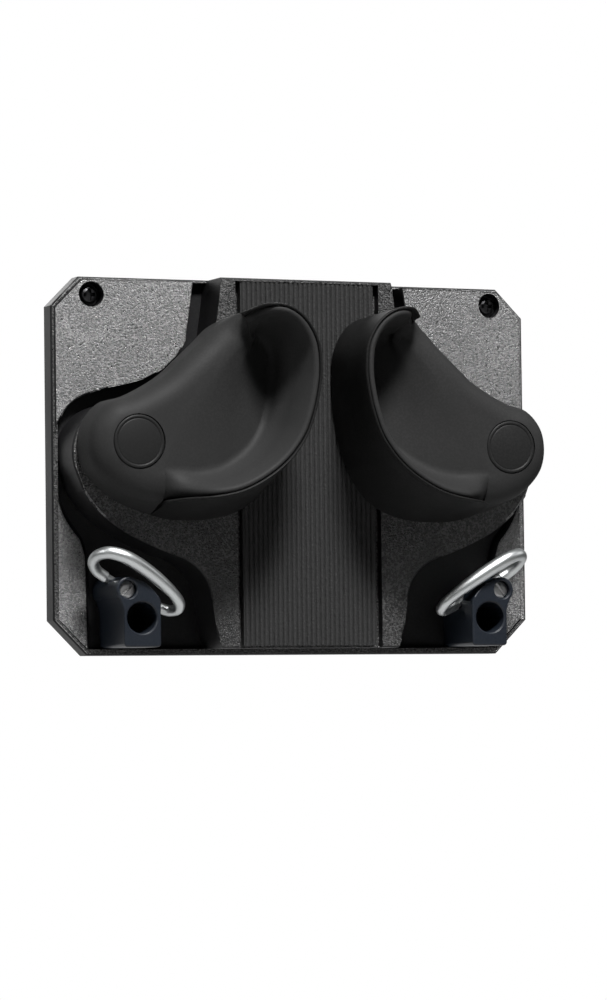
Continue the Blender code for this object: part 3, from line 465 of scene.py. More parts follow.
def new_piece(name, bm, material):
    """Makes a smooth object of a bmesh."""
    bmesh.ops.remove_doubles(bm, verts=bm.verts, dist=MERGE)
    bmesh.ops.recalc_face_normals(bm, faces=bm.faces)
    mesh = bpy.data.meshes.new(name)
    bm.to_mesh(mesh)
    bm.free()
    mesh.shade_smooth()
    mesh.materials.append(material)
    obj = bpy.data.objects.new(name, mesh)
    bpy.context.collection.objects.link(obj)
    return obj


def hang(obj, body, node, sharp):
    """Marks a piece's edges from an angle up as sharp, and hangs it on its body in a solid's place."""
    obj.data.set_sharp_from_angle(angle=radians(sharp))
    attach(obj, body)
    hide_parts(node)
    print(obj.name, len(obj.data.polygons), "faces")


def carve(target, tool, operation="DIFFERENCE"):
    """Cuts one object out of another, joins it on or keeps what they share; the tool is used up."""
    carver = target.modifiers.new("carve", "BOOLEAN")
    carver.object, carver.operation, carver.solver = tool, operation, "EXACT"
    graph = bpy.context.evaluated_depsgraph_get()
    result = bpy.data.meshes.new_from_object(target.evaluated_get(graph))
    target.modifiers.clear()
    bm = bmesh.new()
    bm.from_mesh(result)
    bmesh.ops.remove_doubles(bm, verts=bm.verts, dist=MERGE)
    bmesh.ops.dissolve_degenerate(bm, edges=bm.edges, dist=MERGE)
    bm.to_mesh(result)
    bm.free()
    spent = target.data
    target.data = result
    result.name = spent.name
    bpy.data.meshes.remove(spent)
    bpy.data.meshes.remove(tool.data)


def cylinder(radius, length, matrix, segments=64):
    """A round cutter, its axis along Z until the matrix places it."""
    bm = bmesh.new()
    bmesh.ops.create_cone(
        bm,
        cap_ends=True,
        segments=segments,
        radius1=radius * MM,
        radius2=radius * MM,
        depth=length * MM,
        matrix=matrix,
    )
    return bm


def drum(x, z, radius, back, front):
    """A round cutter from one depth to another."""
    place = Matrix.Translation(spot(x, (front + back) / 2, z))
    return cylinder(radius, front - back, place @ Matrix.Rotation(pi / 2, 4, "X"))


print("points closer than", MERGE / MM, "mm are merged")

# %% [markdown]
# ## Turned pieces
# Screws, caps and bores are round, so each is half a section spun about its own axis. A full spin merges
# its last step with its first, which leaves no seam.


# %% Spin
def turned(profile, x, z, segments=72):
    """Spins a section of (radius, depth) about the depth axis through (x, z)."""
    bm = bmesh.new()
    verts = [bm.verts.new(spot(x + r, d, z)) for r, d in profile]
    edges = [bm.edges.new(pair) for pair in zip(verts, verts[1:])]
    bmesh.ops.spin(
        bm,
        geom=verts + edges,
        cent=spot(x, 0, z),
        axis=(0, 1, 0),
        angle=2 * pi,
        steps=segments,
        use_merge=True,
    )
    bmesh.ops.remove_doubles(bm, verts=bm.verts, dist=MERGE)
    return bm


print("a turned piece has steps of", 360 / 72, "degrees")

# %% [markdown]
# ## The wall plate
# The plate is one moulding: a shallow tray with a rim, a strip at each side, a spine up its middle that
# spreads into a wing under each arm, and a raised face at each upper corner. It could be sculpted, but
# its faces are flat and its edges follow clear curves, so it is cut and joined from slabs. Each slab gets
# its rounded edge first, while it is still simple, and then the slabs are joined and the holes and rear
# pockets are cut.

# %% Plate sizes
# W and H are widths and heights, D depths, R radii; X and Z are places from the plate's middle.
PLATE_W, PLATE_H = 254.0, 184.0
CUT_TOP, CUT_FOOT = 14.5, 17.0
RIM_D, RIM_W, FLOOR_D, WALL = 9.5, 3.0, 5.0, 3.0
STRIP_SIDE_D, STRIP_ROUND, STRIP_STEPS = 5.1, 4.0, 7
SPINE_D, CHANNEL_D, CHANNEL_X, SPINE_X, SPINE_FOOT = 29.0, 24.5, 38.3, 45.5, -89.0
CORNER_X, CORNER_LOW_X, CORNER_LOW_Z, CORNER_EDGE = 56.0, 60.0, 62.0, 1.6
CORNER_D, CORNER_RISE = 10.2, 8.8
HUB, HUB_R = (99.3, 5.0), 24.5
# Places (x, z) of the pivot, the upper wall screw, and a post's screw and bore, on the right side.
PIVOT, CORNER_SCREW = (98.5, 9.2), (107.1, 83.2)
POST_SCREW, POST_BORE = (99.4, -60.9), (92.6, -74.5)
print("plate:", PLATE_W, "x", PLATE_H, "mm")


# %% Slabs
BROAD_EDGE, FINE_EDGE = (1.1, 5), (0.9, 4)  # width and steps of a rounded edge


def mirrored(points, side):
    """Points drawn for the left side, moved to a side."""
    return [(-side * x, z) for x, z in points]


def both_sides(points):
    """The left half of an outline, closed by its mirror image."""
    return points + [(-x, z) for x, z in reversed(points)]


def arc(x, z, radius, start, end, steps):
    """Points along an arc, its angles in degrees."""
    turns = [radians(blend(start, end, i / steps)) for i in range(steps + 1)]
    return [(x + radius * cos(t), z + radius * sin(t)) for t in turns]


def pushed(points):
    """A face through points and a copy of it joined on, with the copy's points and the copy itself."""
    bm = bmesh.new()
    face = bm.faces.new([bm.verts.new(p) for p in points])
    new = bmesh.ops.extrude_face_region(bm, geom=[face])["geom"]
    verts = [g for g in new if isinstance(g, bmesh.types.BMVert)]
    return bm, verts, next(g for g in new if isinstance(g, bmesh.types.BMFace))


def slab(outline, back, front):
    """An outline in (x, z) made solid up to its front, a depth or a function, and its front face."""
    front_at = front if callable(front) else lambda x, z: front
    bm, top, lid = pushed([spot(x, back, z) for x, z in outline])
    for vert in top:
        vert.co.y = -front_at(vert.co.x / MM, vert.co.z / MM) * MM
    return bm, lid


def rounded_slab(outline, back, front, width, segments):
    """A slab whose front edge is rounded."""
    bm, lid = slab(outline, back, front)
    bmesh.ops.bevel(
        bm,
        geom=list(lid.edges),
        affect="EDGES",
        offset=width * MM,
        segments=segments,
        profile=0.5,
        material=-1,
    )
    return bm


def block(name, bm):
    """An object to cut with or to join on."""
    return new_piece(name, bm, plate_grained)


print("a quarter arc:", len(arc(0, 0, 1, 0, 90, 8)), "points")


# %% Plate outlines
CUT_SHRINK = 2 - 2**0.5  # what a corner cut at 45 degrees loses for each step inwards


def plate_outline(inset):
    """The plate's outline with its four cut corners, drawn in by an inset."""
    x, z = PLATE_W / 2 - inset, PLATE_H / 2 - inset
    top, foot = CUT_TOP - inset * CUT_SHRINK, CUT_FOOT - inset * CUT_SHRINK
    return both_sides([(-x + top, z), (-x, z - top), (-x, -z + foot), (-x + foot, -z)])


def corner_outline():
    """The raised face round an upper screw, swept in an arc above the hub."""
    x, z = PLATE_W / 2 - CORNER_EDGE, PLATE_H / 2 - CORNER_EDGE
    top = CUT_TOP - CORNER_EDGE * CUT_SHRINK
    around = [(23.7, 17.5), (16.2, 26.5), (3.5, 31.7), (-12.1, 35.4)]
    rise, run = CORNER_LOW_Z - HUB[1], HUB[0] - CORNER_LOW_X
    sweep = [(-x, HUB[1] + 10.5)] + [(-HUB[0] - across, HUB[1] + up) for across, up in around]
    last = [(0.42, 0.69), (0.15, 0.83), (0, 1)]
    sweep += [(-CORNER_LOW_X - share * run, HUB[1] + up * rise) for share, up in last]
    return [(-CORNER_X, z), (-x + top, z), (-x, z - top)] + smooth_through(sweep, 8)


def corner_depth(x, z):
    """A corner face rises from the plate's edge towards the middle."""
    return CORNER_D + CORNER_RISE * (PLATE_W / 2 - abs(x)) / (PLATE_W / 2 - CORNER_X)


def spine_outline():
    """The spine and its wings, from the top down the left side and back up the right."""
    run = HUB[0] - SPINE_X
    shoulder = [(0.055, 64), (0.112, 51), (0.26, 38), (0.567, 29.5), (0.79, 26)]
    upper = [(-SPINE_X, PLATE_H / 2 - 0.4)] + [(-SPINE_X - s * run, HUB[1] + up) for s, up in shoulder]
    wing = arc(-HUB[0], HUB[1], HUB_R, 100, 196, 30)
    lower = [(-HUB[0] - across, HUB[1] + up) for across, up in ((19.2, -18), (13.2, -26.2), (5.6, -33))]
    sweep = [(0.915, -39.4), (0.627, -46.3), (0.381, -51.2), (0.223, -57.6), (0.139, -67), (0.084, -85)]
    lower += [(-SPINE_X - s * run, HUB[1] + down) for s, down in sweep] + [(-SPINE_X - 1.7, SPINE_FOOT)]
    return both_sides(smooth_through(upper, 7)[:-1] + wing + smooth_through(lower, 7))


print("spine outline:", len(spine_outline()), "points")


# %% Tray
def strip_outline():
    """The strip beside the lower recess, drawn past the plate's edges, which trim it later."""
    edge = [(-130, 1), (-124.6, -8), (-121.6, -17), (-118.6, -24), (-114.6, -30.1), (-110.6, -35.4)]
    edge = smooth_through(edge + [(-108, -44)], 5)
    return edge + [(-107.6, -60), (-107.6, -100), (-136, -100), (-136, 1)]


def strip_block(side):
    """A strip whose inner edge is rounded; its straight outer sides don't move in."""
    outline = strip_outline()
    turns = [j / STRIP_STEPS * pi / 2 for j in range(STRIP_STEPS + 1)]
    steps = [(0, 1)]
    steps += [(STRIP_ROUND * (1 - cos(t)), STRIP_SIDE_D + STRIP_ROUND * sin(t)) for t in turns]
    moved = [0] + [1] * (len(outline) - 3) + [0, 0]
    rings = []
    for inset, depth in steps:
        rings.append([(x, depth, z) for x, z in grown(outline, [-inset * m for m in moved])])
    bm, loop = joined_rings(rings, lambda p: spot(-side * p[0], p[1], p[2]))
    bm.faces.new(loop)
    strip = block("strip_block", bm)
    trimmer = slab(plate_outline(RIM_W - 0.4), 0.5, 20)[0]
    carve(strip, block("strip_trimmer", trimmer), "INTERSECT")
    return strip


def tray():
    """The plate's tray: a slab with a rounded rim and a sunk floor, and a raised strip at each side."""
    plate = block("plate_moulding", rounded_slab(plate_outline(0), 0, RIM_D, *BROAD_EDGE))
    x, z, low = PLATE_W / 2 - RIM_W, PLATE_H / 2 - RIM_W, PLATE_H / 2
    foot = CUT_FOOT - RIM_W
    floor = [(-x + CUT_TOP, low - 1.5), (-x, low - 1.5 - CUT_TOP), (-x, -z + foot), (-x + foot, -z)]
    carve(plate, block("floor_cutter", slab(both_sides(floor), FLOOR_D, RIM_D + 1)[0]))
    for side in SIDES.values():
        carve(plate, strip_block(side), "UNION")
    return plate


plate = tray()
print("tray:", len(plate.data.polygons), "faces")

# %% Raised corners and spine
for side in SIDES.values():
    corner = rounded_slab(mirrored(corner_outline(), side), 1, corner_depth, *FINE_EDGE)
    carve(plate, block("corner_block", corner), "UNION")
spine = rounded_slab(spine_outline(), 1, SPINE_D, *BROAD_EDGE)
carve(plate, block("spine_block", spine), "UNION")
channel = both_sides([(-CHANNEL_X, PLATE_H / 2 - 2), (-CHANNEL_X, SPINE_FOOT - 1)])
carve(plate, block("channel_cutter", slab(channel, CHANNEL_D, SPINE_D + 1)[0]))
print("with corners and spine:", len(plate.data.polygons), "faces")

# %% [markdown]
# The back is hollow, as a thick moulding has to be, or it would sink as it cools. Pockets are cut from
# behind up to 3 mm from the front, and thin ribs are left standing in them.


# %% Rear pockets
BAR_PITCH, BAR_W, BOSS_R = 22, 2.2, 13.0


def rib_bars(along_x):
    """Bars at an even pitch, across the plate or up it, that stay standing as ribs."""
    bm = bmesh.new()
    count = int((PLATE_H if along_x else PLATE_W) / 2 / BAR_PITCH)
    for i in range(-count, count + 1):
        size = (PLATE_W, 2 * SPINE_D, BAR_W) if along_x else (BAR_W, 2 * SPINE_D, PLATE_H)
        at = (0, 0, i * BAR_PITCH) if along_x else (i * BAR_PITCH, 0, 0)
        place = Matrix.Translation(Vector(at) * MM) @ Matrix.Diagonal((*(s * MM for s in size), 1))
        bmesh.ops.create_cube(bm, size=1, matrix=place)
    return bm


def pocket(outline, front, side):
    """Cuts a ribbed pocket into the back; the pivot's boss is left standing."""
    hollow = block("pocket_cutter", slab(mirrored(outline, side), -1, front)[0])
    carve(hollow, block("cross_ribs", rib_bars(True)))
    carve(hollow, block("long_ribs", rib_bars(False)))
    carve(hollow, block("boss", drum(side * PIVOT[0], PIVOT[1], BOSS_R, -2, SPINE_D)))
    carve(plate, hollow)


wing_x = CHANNEL_X + WALL
run = HUB[0] - wing_x
upper = [(-wing_x - s * run, HUB[1] + up) for s, up in ((0, 33), (0.36, 28), (0.67, 23.5))]
around = [(-0.7, 20.5), (-14.7, 14.5), (-20.2, 0), (-15.7, -16), (-1.7, -29.5)]
lower = [(-wing_x - s * run, HUB[1] + up) for s, up in ((0.74, -39), (0.36, -47.5), (0, -55))]
wing = smooth_through(upper + [(-HUB[0] + x, HUB[1] + z) for x, z in around] + lower, 5)
corner = [(-59, 86), (-92.9, 86), (-92.9, 70.8), (-120, 70.8), (-120, 36), (-99.3, 42)]
corner += [(-82.3, 46), (-66, 65)]
for side in SIDES.values():
    pocket([(10, 86), (35.3, 86), (35.3, -86), (10, -86)], CHANNEL_D - WALL, -side)
    pocket(wing, SPINE_D - WALL, side)
    pocket(corner, lambda x, z: corner_depth(x, z) - WALL, side)
print("with pockets:", len(plate.data.polygons), "faces")

# %% Holes and screw seats
# Each hole's place and radius, and the depths that it runs between.
HOLES = [
    ("pivot_hole", PIVOT, 4.3, -1, SPINE_D + 1),
    ("head_sink", PIVOT, 8.1, -2, 7.1),
    ("pilot_hole", POST_SCREW, 2.2, -1, FLOOR_D + 1),
    ("screw_hole", POST_BORE, 2.7, -2, RIM_D + 1),
    ("screw_hole", CORNER_SCREW, 2.7, -2, RIM_D + 1),
    ("screw_sink", CORNER_SCREW, 6.2, 6, 20),
]
for side in SIDES.values():
    for name, (x, z), radius, start, end in HOLES:
        carve(plate, block(name, drum(side * x, z, radius, start, end)))
print("plate:", len(plate.data.polygons), "faces")


# %% Grained and smooth faces
INNER, SMOOTH, OUTER = range(3)


def grain_of(face):
    """Only the faces towards the room were etched in the mould; the corners and side strips get the
    finish with more gloss and painted sparkle.
    """
    if face.normal.y > -0.93 or -face.center.y < 8.8 * MM:
        return SMOOTH
    x, z = abs(face.center.x) / MM, face.center.z / MM
    in_corner, in_strip = x > 58 and z > 37, x > 107 and z < 1
    return OUTER if in_corner or in_strip else INNER


plate.data.materials.clear()
for finish in (plate_grained, plate_smooth, outer_grained):
    plate.data.materials.append(finish)
for face in plate.data.polygons:
    face.material_index = grain_of(face)
evened = plate.modifiers.new("flat_faces", "WEIGHTED_NORMAL")
evened.keep_sharp = True
evened.weight = 100
hang(plate, "base", "base_plate", 35)
print("smooth faces:", sum(face.material_index == SMOOTH for face in plate.data.polygons))

# %% [markdown]
# ## The arms
# Each arm is a hard core under rubber: a flat hub around its pivot, a long bean-shaped palm, and a raised
# lip that grips. On the real part it comes out of one mould, so nothing on it is sharp. Rings are drawn
# from the back, up its side and over its edge: at the hub they roll over into the flat face, and along
# the palm they climb to the lip and run down inside it. What remains is filled with a grid that settles
# like a stretched skin.

# %% Arm outline
# Depths of the back, the flat face and the lip; how far the dish drops below the face; how thick the
# grip is at the lip and at the back, and the gap to it; and the steps between two rows.
ARM_BACK, FACE, LIP_TOP, DISH_DROP = 29.8, 53.0, 73.0, 13.0
GRIP_LIP, GRIP_THICK, GAP = 1.3, 5.0, 0.3
STEPS = 6
# Each row: x and z from the pivot at the back, x and z at the front, how much of the lip stands there,
# and how much of the dish's drop its foot has. X points towards the middle of the rack.
ARM_ROWS = [
    (-2.0, 22.6, -2.0, 22.2, 0, 0),
    (-13.0, 19.4, -12.8, 18.7, 0, 0),
    (-20.8, 10.8, -20.2, 10.2, 0, 0),
    (-23.4, 0.0, -22.4, 0.0, 0, 0),
    (-21.8, -10.2, -20.8, -9.8, 0, 0),
    (-16.8, -17.6, -16.0, -17.0, 0, 0),
    (-9.5, -24.0, -8.5, -23.4, 0, 0),
    (-1.0, -29.0, 0.0, -27.3, 0, 0),
    (7.5, -32.0, 7.5, -29.0, 0.04, 0),
    (14.0, -34.0, 13.7, -29.2, 0.17, 0.03),
    (23.0, -36.0, 20.5, -28.4, 0.56, 0.06),
    (34.0, -36.4, 30.5, -27.9, 0.91, 0.1),
    (46.0, -35.6, 42.9, -25.6, 1, 0.17),
    (58.0, -32.4, 53.3, -21.4, 1, 0.3),
    (68.5, -26.0, 63.8, -14.8, 1, 0.48),
    (76.5, -16.0, 72.2, -7.0, 1, 0.68),
    (82.0, -4.0, 78.9, 2.4, 1, 0.86),
    (84.8, 8.5, 82.8, 12.0, 1, 0.96),
    (86.4, 21.0, 85.4, 22.0, 1, 1),
    (86.9, 34.5, 87.0, 34.5, 1, 1),
    (85.6, 47.0, 85.7, 48.1, 1, 0.98),
    (79.6, 58.0, 79.7, 58.8, 1, 0.9),
    (71.0, 63.6, 70.8, 65.0, 1, 0.8),
    (61.5, 63.8, 60.5, 66.2, 0.91, 0.62),
    (52.8, 61.6, 52.6, 63.0, 0.52, 0.42),
    (43.8, 57.0, 43.6, 57.0, 0.13, 0.2),
    (35.5, 49.2, 35.3, 49.0, 0, 0.08),
    (26.5, 41.0, 26.3, 40.8, 0, 0.02),
    (18.0, 33.5, 17.8, 33.2, 0, 0),
    (8.0, 27.3, 8.0, 27.0, 0, 0),
]
rows = smooth_through(ARM_ROWS, STEPS, closed=True)
GRIP_FROM, GRIP_TO = 9 * STEPS + 1, 24 * STEPS + 1


def near(i, j):
    """A row a fifth of the way from one row to the next, so that the band's end is a crisp joint."""
    return tuple(blend(a, b, 0.2) for a, b in zip(rows[i], rows[j]))


rows.insert(GRIP_TO, near(GRIP_TO - 1, GRIP_TO))
rows.insert(GRIP_FROM - 1, near(GRIP_FROM - 1, GRIP_FROM - 2))
arm_back = [(row[0], row[1]) for row in rows]
arm_front = [(row[2], row[3]) for row in rows]
arm_lip = [min(max(row[4], 0), 1) for row in rows]
arm_edge = [blend(FACE - 3, LIP_TOP, k) for k in arm_lip]
arm_foot = [FACE - DISH_DROP * row[5] for row in rows]
in_grip = [GRIP_FROM <= i <= GRIP_TO for i in range(len(rows))]
print("arm outline:", len(rows), "points")


# %% Arm skin
# The hub's rounded edge: its rings, how deep and wide it is, and how much wider below; and the back's.
HUB_TURNS, HUB_ROUND, HUB_WIDE, HUB_WIDER, BACK_ROUND = 7, 11, 11, 2.5, 0.8
EDGE_RINGS, RING_STEP = 10, 1.2  # rings over the front edge, and their step past the rounded part
# The bore through the hub, as radius and depth: thrust washer, bush, nut well and cap seat.
ARM_SEATS = [(0, 27), (12.3, 27), (12.3, 31), (7.3, 31), (7.3, 40.2), (10.7, 40.2), (10.7, FACE - 3.1)]
ARM_SEATS += [(13.3, FACE - 3.1), (13.3, FACE + 4), (0, FACE + 4)]


def on_arm(side):
    """Places a point drawn about the pivot, as x towards the middle, depth and z, on a side's arm."""
    return lambda p: spot(side * (PIVOT[0] - p[0]), p[1], PIVOT[1] + p[2])


def hub_roll(j, z):
    """Inset and depth of a ring on the hub's rounded edge, which is broader on its underside."""
    t = min(j / HUB_TURNS, 1) * pi / 2
    wide = HUB_WIDE + HUB_WIDER * min(max(-z / 20, 0), 1)
    return wide * (1 - cos(t)) + max(j - HUB_TURNS, 0) * RING_STEP, FACE - HUB_ROUND * (1 - sin(t))


def lip_roll(j, top, foot):
    """Inset and depth of a ring over the lip and down its inner wall to the foot."""
    return (
        (0.0, top - 1.2),
        (0.15, top - 0.5),
        (0.6, top - 0.1),
        (1.2, top),
        (2.0, top - 0.3),
        (2.9, top - 1.3),
        (6.4, blend(foot, top, 0.5)),
        (9.4, foot + 2.4),
        (10.9, foot + 0.9),
        (12.6, foot + 0.15),
    )[j]


def arm_rings():
    """All rings of the arm, from its back to the foot of its dish."""
    tuck = [GRIP_THICK + GAP if g else 0 for g in in_grip]
    under = [GRIP_LIP + GAP if g else 0 for g in in_grip]
    back = grown(arm_back, [-t for t in tuck])
    rings = [[(x, ARM_BACK, z) for x, z in grown(back, [-BACK_ROUND] * len(back))]]
    rings.append([(x, ARM_BACK + BACK_ROUND, z) for x, z in back])
    for j in range(EDGE_RINGS):
        insets, depths = [], []
        for k, top, foot, (x, z) in zip(arm_lip, arm_edge, arm_foot, arm_front):
            hub, lip = hub_roll(j, z), lip_roll(j, max(top, FACE), foot)
            insets.append(blend(hub[0], lip[0], k))
            depths.append(blend(hub[1], lip[1], k))
        base = grown(arm_front, [-u - i for u, i in zip(under, insets)])
        rings.append([(x, d, z) for (x, z), d in zip(base, depths)])
    return rings


print("ring 3 of the hub:", [round(v, 2) for v in hub_roll(3, 0)])


# %% Dish
FLAT_R = 17 * MM  # the face round the pivot stays flat this far out
LEVEL_STEPS, DEPTH_STEPS = 60, 1200


def dish_grid(bm, loop):
    """Fills the dish with a grid between its two long sides, and evens it out in its plane."""
    count, ends = len(loop), 4 * STEPS
    rail = (count - 2 * ends) // 2
    first = STEPS + ends
    pairs = [bm.edges.get((loop[i], loop[(i + 1) % count])) for i in range(count)]
    lower = [pairs[(first + i) % count] for i in range(rail)]
    upper = [pairs[(first + rail + ends + i) % count] for i in range(rail)]
    faces = bmesh.ops.grid_fill(bm, edges=lower + upper)["faces"]
    inner = list({v for face in faces for v in face.verts} - set(loop))
    for _ in range(LEVEL_STEPS):
        bmesh.ops.smooth_vert(bm, verts=inner, factor=0.5, use_axis_x=True, use_axis_z=True)
    return inner


def eased(share, back=False):
    """Slows a share down near 0 and 1, or undoes that, so that the dish leaves hub and wall level."""
    t = min(max(share, 0), 1)
    return 0.5 - sin(asin(1 - 2 * t) / 3) if back else 3 * t * t - 2 * t**3


def settle(verts, back=False):
    """Eases how far each point has dropped into the dish, or undoes that."""
    for vert in verts:
        vert.co.y = -(FACE - DISH_DROP * eased((FACE + vert.co.y / MM) / DISH_DROP, back)) * MM


print("a quarter, eased:", round(eased(0.25), 3))


# %% Arms
def build_arm(name, side):
    """An arm's rubber body, bored for its bolt, with seats for the washers, the nut and the cap."""
    bm, loop = joined_rings(arm_rings(), on_arm(side))
    pivot_x, pivot_z = side * PIVOT[0] * MM, PIVOT[1] * MM
    free = []
    for vert in dish_grid(bm, loop):
        if hypot(vert.co.x - pivot_x, vert.co.z - pivot_z) < FLAT_R:
            vert.co.y = -FACE * MM
        else:
            free.append(vert)
    settle(loop, back=True)
    for _ in range(DEPTH_STEPS):
        bmesh.ops.smooth_vert(bm, verts=free, factor=0.5, use_axis_y=True)
    settle(free + loop)
    arm = new_piece(f"{name}_arm_rubber", bm, arm_rubber)
    seats = turned(ARM_SEATS, side * PIVOT[0], PIVOT[1], 64)
    carve(arm, new_piece("seat_cutter", seats, arm_rubber))
    hang(arm, f"{name}_arm", f"{name}_arm", 40)


for name, side in SIDES.items():
    build_arm(name, side)

# %% [markdown]
# ## The grips
# A band of softer rubber wraps the working edge of each arm. It is thick at the back and ends in a thin
# bead level with the lip; their seam is the line seen around the palm. Its section is drawn at each
# point of the outline, from the back inside to the bead, and swept along the arm.


# %% Grip band
def between(a, b, share, depth):
    """A point at a depth, a share of the way from one (x, z) to another."""
    return (blend(a[0], b[0], share), depth, blend(a[1], b[1], share))


def grip_section(i, inner_back, inner_front):
    """The section of the band at one point of the outline, as (x, depth, z) going round it."""
    back, front, inside, lip = arm_back[i], arm_front[i], inner_back[i], inner_front[i]
    top = arm_edge[i] - 0.3
    side = (top - 2.6 - ARM_BACK) / (top - ARM_BACK)
    return [
        between(inside, back, 0, ARM_BACK),
        between(back, inside, 0.12, ARM_BACK),
        between(back, inside, 0, ARM_BACK + 0.7),
        between(back, front, 0.5, blend(ARM_BACK, top, 0.5)),
        between(back, front, side, top - 2.6),
        between(front, lip, -0.05, top - 1.6),
        between(front, lip, -0.05, top - 0.7),
        between(front, lip, 0.1, top + 0.05),
        between(front, lip, 0.45, top + 0.3),
        between(front, lip, 0.85, top + 0.05),
        between(lip, front, 0, top - 0.5),
        between(lip, inside, 0.3, blend(top, ARM_BACK, 0.3)),
    ]


def build_grip(name, side):
    """The band of soft rubber on an arm's edge."""
    inner_back = grown(arm_back, [-GRIP_THICK] * len(arm_back))
    inner_front = grown(arm_front, [-GRIP_LIP] * len(arm_front))
    rings = [grip_section(i, inner_back, inner_front) for i in range(GRIP_FROM, GRIP_TO + 1)]
    bm, loop = joined_rings(rings, on_arm(side))
    bm.faces.new(loop)
    grip = new_piece(f"{name}_grip_skin", bm, grip_rubber)
    hang(grip, f"{name}_arm", f"{name}_grip_pad", 50)


for name, side in SIDES.items():
    build_grip(name, side)

# %% [markdown]
# ## The ribbed pad
# A rubber pad lies in the channel, its ribs running up and down, the way the channel does. Its section is
# drawn once, rib after rib with rounded tops, and pushed up the plate.

# %% Channel pad
PAD_HALF, RIB_PITCH, RIB_HEIGHT = 35.5, 2.5, 1.0
PAD_FOOT, PAD_TOP = SPINE_FOOT + 1.2, PLATE_H / 2 - 2.3


def pad_section():
    """The pad's section as (x, depth), closed at the back."""
    ribs = int(2 * PAD_HALF / RIB_PITCH)
    start, low = -ribs * RIB_PITCH / 2, SPINE_D + 0.4 - RIB_HEIGHT
    points = [(-PAD_HALF, CHANNEL_D + 0.3), (-PAD_HALF, low)]
    for i in range(ribs):
        for t in (0.06, 0.14, 0.26, 0.4, 0.5, 0.6, 0.74, 0.86, 0.94):
            rise = max(sin(pi * (t - 0.06) / 0.88), 0) ** 0.7
            points.append((start + (i + t) * RIB_PITCH, low + RIB_HEIGHT * rise))
    return points + [(PAD_HALF, low), (PAD_HALF, CHANNEL_D + 0.3)]


bm, top, lid = pushed([spot(x, depth, PAD_FOOT) for x, depth in pad_section()])
bmesh.ops.translate(bm, verts=top, vec=(0, 0, (PAD_TOP - PAD_FOOT) * MM))
hang(new_piece("ribbed_pad", bm, pad_rubber), "base", "channel_pad", 50)

# %% [markdown]
# ## The pivot caps
# A plain cap hides each pivot's nut. It snaps in by a skirt, and a fine groove runs round it just inside
# its rim. It is round, so it is turned like the bores, from a finer section.

# %% Pivot caps
# Radius, and how far below the arm's face.
CAP_PROFILE = [
    (0, 2.6), (8.9, 2.6), (8.9, 5.6), (10.4, 5.6), (10.4, 2.6), (12.7, 2.6), (13.0, 2.3), (13.0, 0.9),
    (12.8, 0.35), (12.35, 0.05), (11.7, 0), (11.5, 0.12), (11.3, 0.4), (11.0, 0.45), (10.8, 0.3),
    (10.5, 0.2), (0, 0.2),
]


def build_cap(name, side):
    """The plain cap over a pivot: a skirt that snaps in, a rounded rim and a fine groove inside it."""
    profile = [(radius, FACE - drop) for radius, drop in CAP_PROFILE]
    bm = turned(profile, side * PIVOT[0], PIVOT[1], 96)
    cap = new_piece(f"{name}_round_cap", bm, cap_plastic)
    hang(cap, f"{name}_arm", f"{name}_pivot_cap", 50)


for name, side in SIDES.items():
    build_cap(name, side)

# %% [markdown]
# ## The posts
# A post is a block of its own plastic with a deep bore, a round boss for its screw and a sloping
# shoulder. It is a slab with a rounded front edge, and each bore gets a chamfered mouth because its
# cutter is spun with a flared end.

# %% Post shapes
POST_BACK, POST_D, POST_FOOT, POST_X, POST_HALF = 5.3, 39.0, -88.5, 92.3, 9.5
FOOT_R, SCREW_BOSS_R, SOCKET_R = 1.8, 6.2, 2.4
# The loop's hinge: its place (x, depth, z), and in degrees its slope and how far the loop leans out.
HINGE, HINGE_SLOPE, LOOP_TILT = (92.9, 24.0, -61.3), 28, 60
# Where each socket starts and ends along the hinge.
SOCKETS = {"outer_socket": (-9.6, -19), "inner_socket": (6.3, 19)}
# Each bore's place and radius, the depth it starts from, and its mouth's chamfer.
BORES = [
    ("bore_cutter", POST_BORE, 7.6, POST_BACK + 4.5, 0.7),
    ("hole_cutter", POST_BORE, 2.7, 4, None),
    ("well_cutter", POST_SCREW, 4.4, POST_D - 4.8, 0.5),
    ("shank_cutter", POST_SCREW, 2.2, 4, None),
]


def post_outline():
    """A left post from the front: rounded feet, the screw's boss and a sloping shoulder."""
    outer, inner, r = -POST_X - POST_HALF, -POST_X + POST_HALF, FOOT_R
    feet = arc(inner - r, POST_FOOT + r, r, 0, -90, 8)
    feet += arc(outer + r, POST_FOOT + r, r, -90, -180, 8)
    boss = arc(-POST_SCREW[0], POST_SCREW[1], SCREW_BOSS_R, 225, 62, 26)
    drop = [(-8.7, 3.7), (-5.4, 1.5), (-2.4, -1.7), (0, -5.6)]
    shoulder = smooth_through([(inner + x, POST_SCREW[1] + z) for x, z in drop], 5)
    return feet + [(outer, POST_SCREW[1] - 10.1)] + boss + shoulder


def mouth(x, z, radius, back, chamfer):
    """A cutter for a bore with a chamfered mouth at the post's front."""
    flare = [(radius, POST_D - chamfer), (radius + chamfer + 1, POST_D + 1), (0, POST_D + 1)]
    return turned([(0, back), (radius, back)] + flare, x, z)


def socket(hinge, start, end):
    """A round cutter along a loop's hinge, from one place on it to another."""
    place = Matrix.Translation(((start + end) / 2 * MM, 0, 0)) @ Matrix.Rotation(pi / 2, 4, "Y")
    return cylinder(SOCKET_R, abs(end - start), hinge @ place, 48)


def hinge_frame(side):
    """The frame that a loop is drawn in: X along its hinge, Z out from it."""
    slope, tilt = radians(HINGE_SLOPE), radians(LOOP_TILT)
    along = Vector((-side * cos(slope), 0, -sin(slope)))
    reach = Vector((-side * sin(slope), 0, cos(slope))) * cos(tilt) + Vector((0, -1, 0)) * sin(tilt)
    turn = Matrix((along, reach.cross(along), reach)).transposed().to_4x4()
    return Matrix.Translation(Vector((side * HINGE[0], -HINGE[1], HINGE[2])) * MM) @ turn


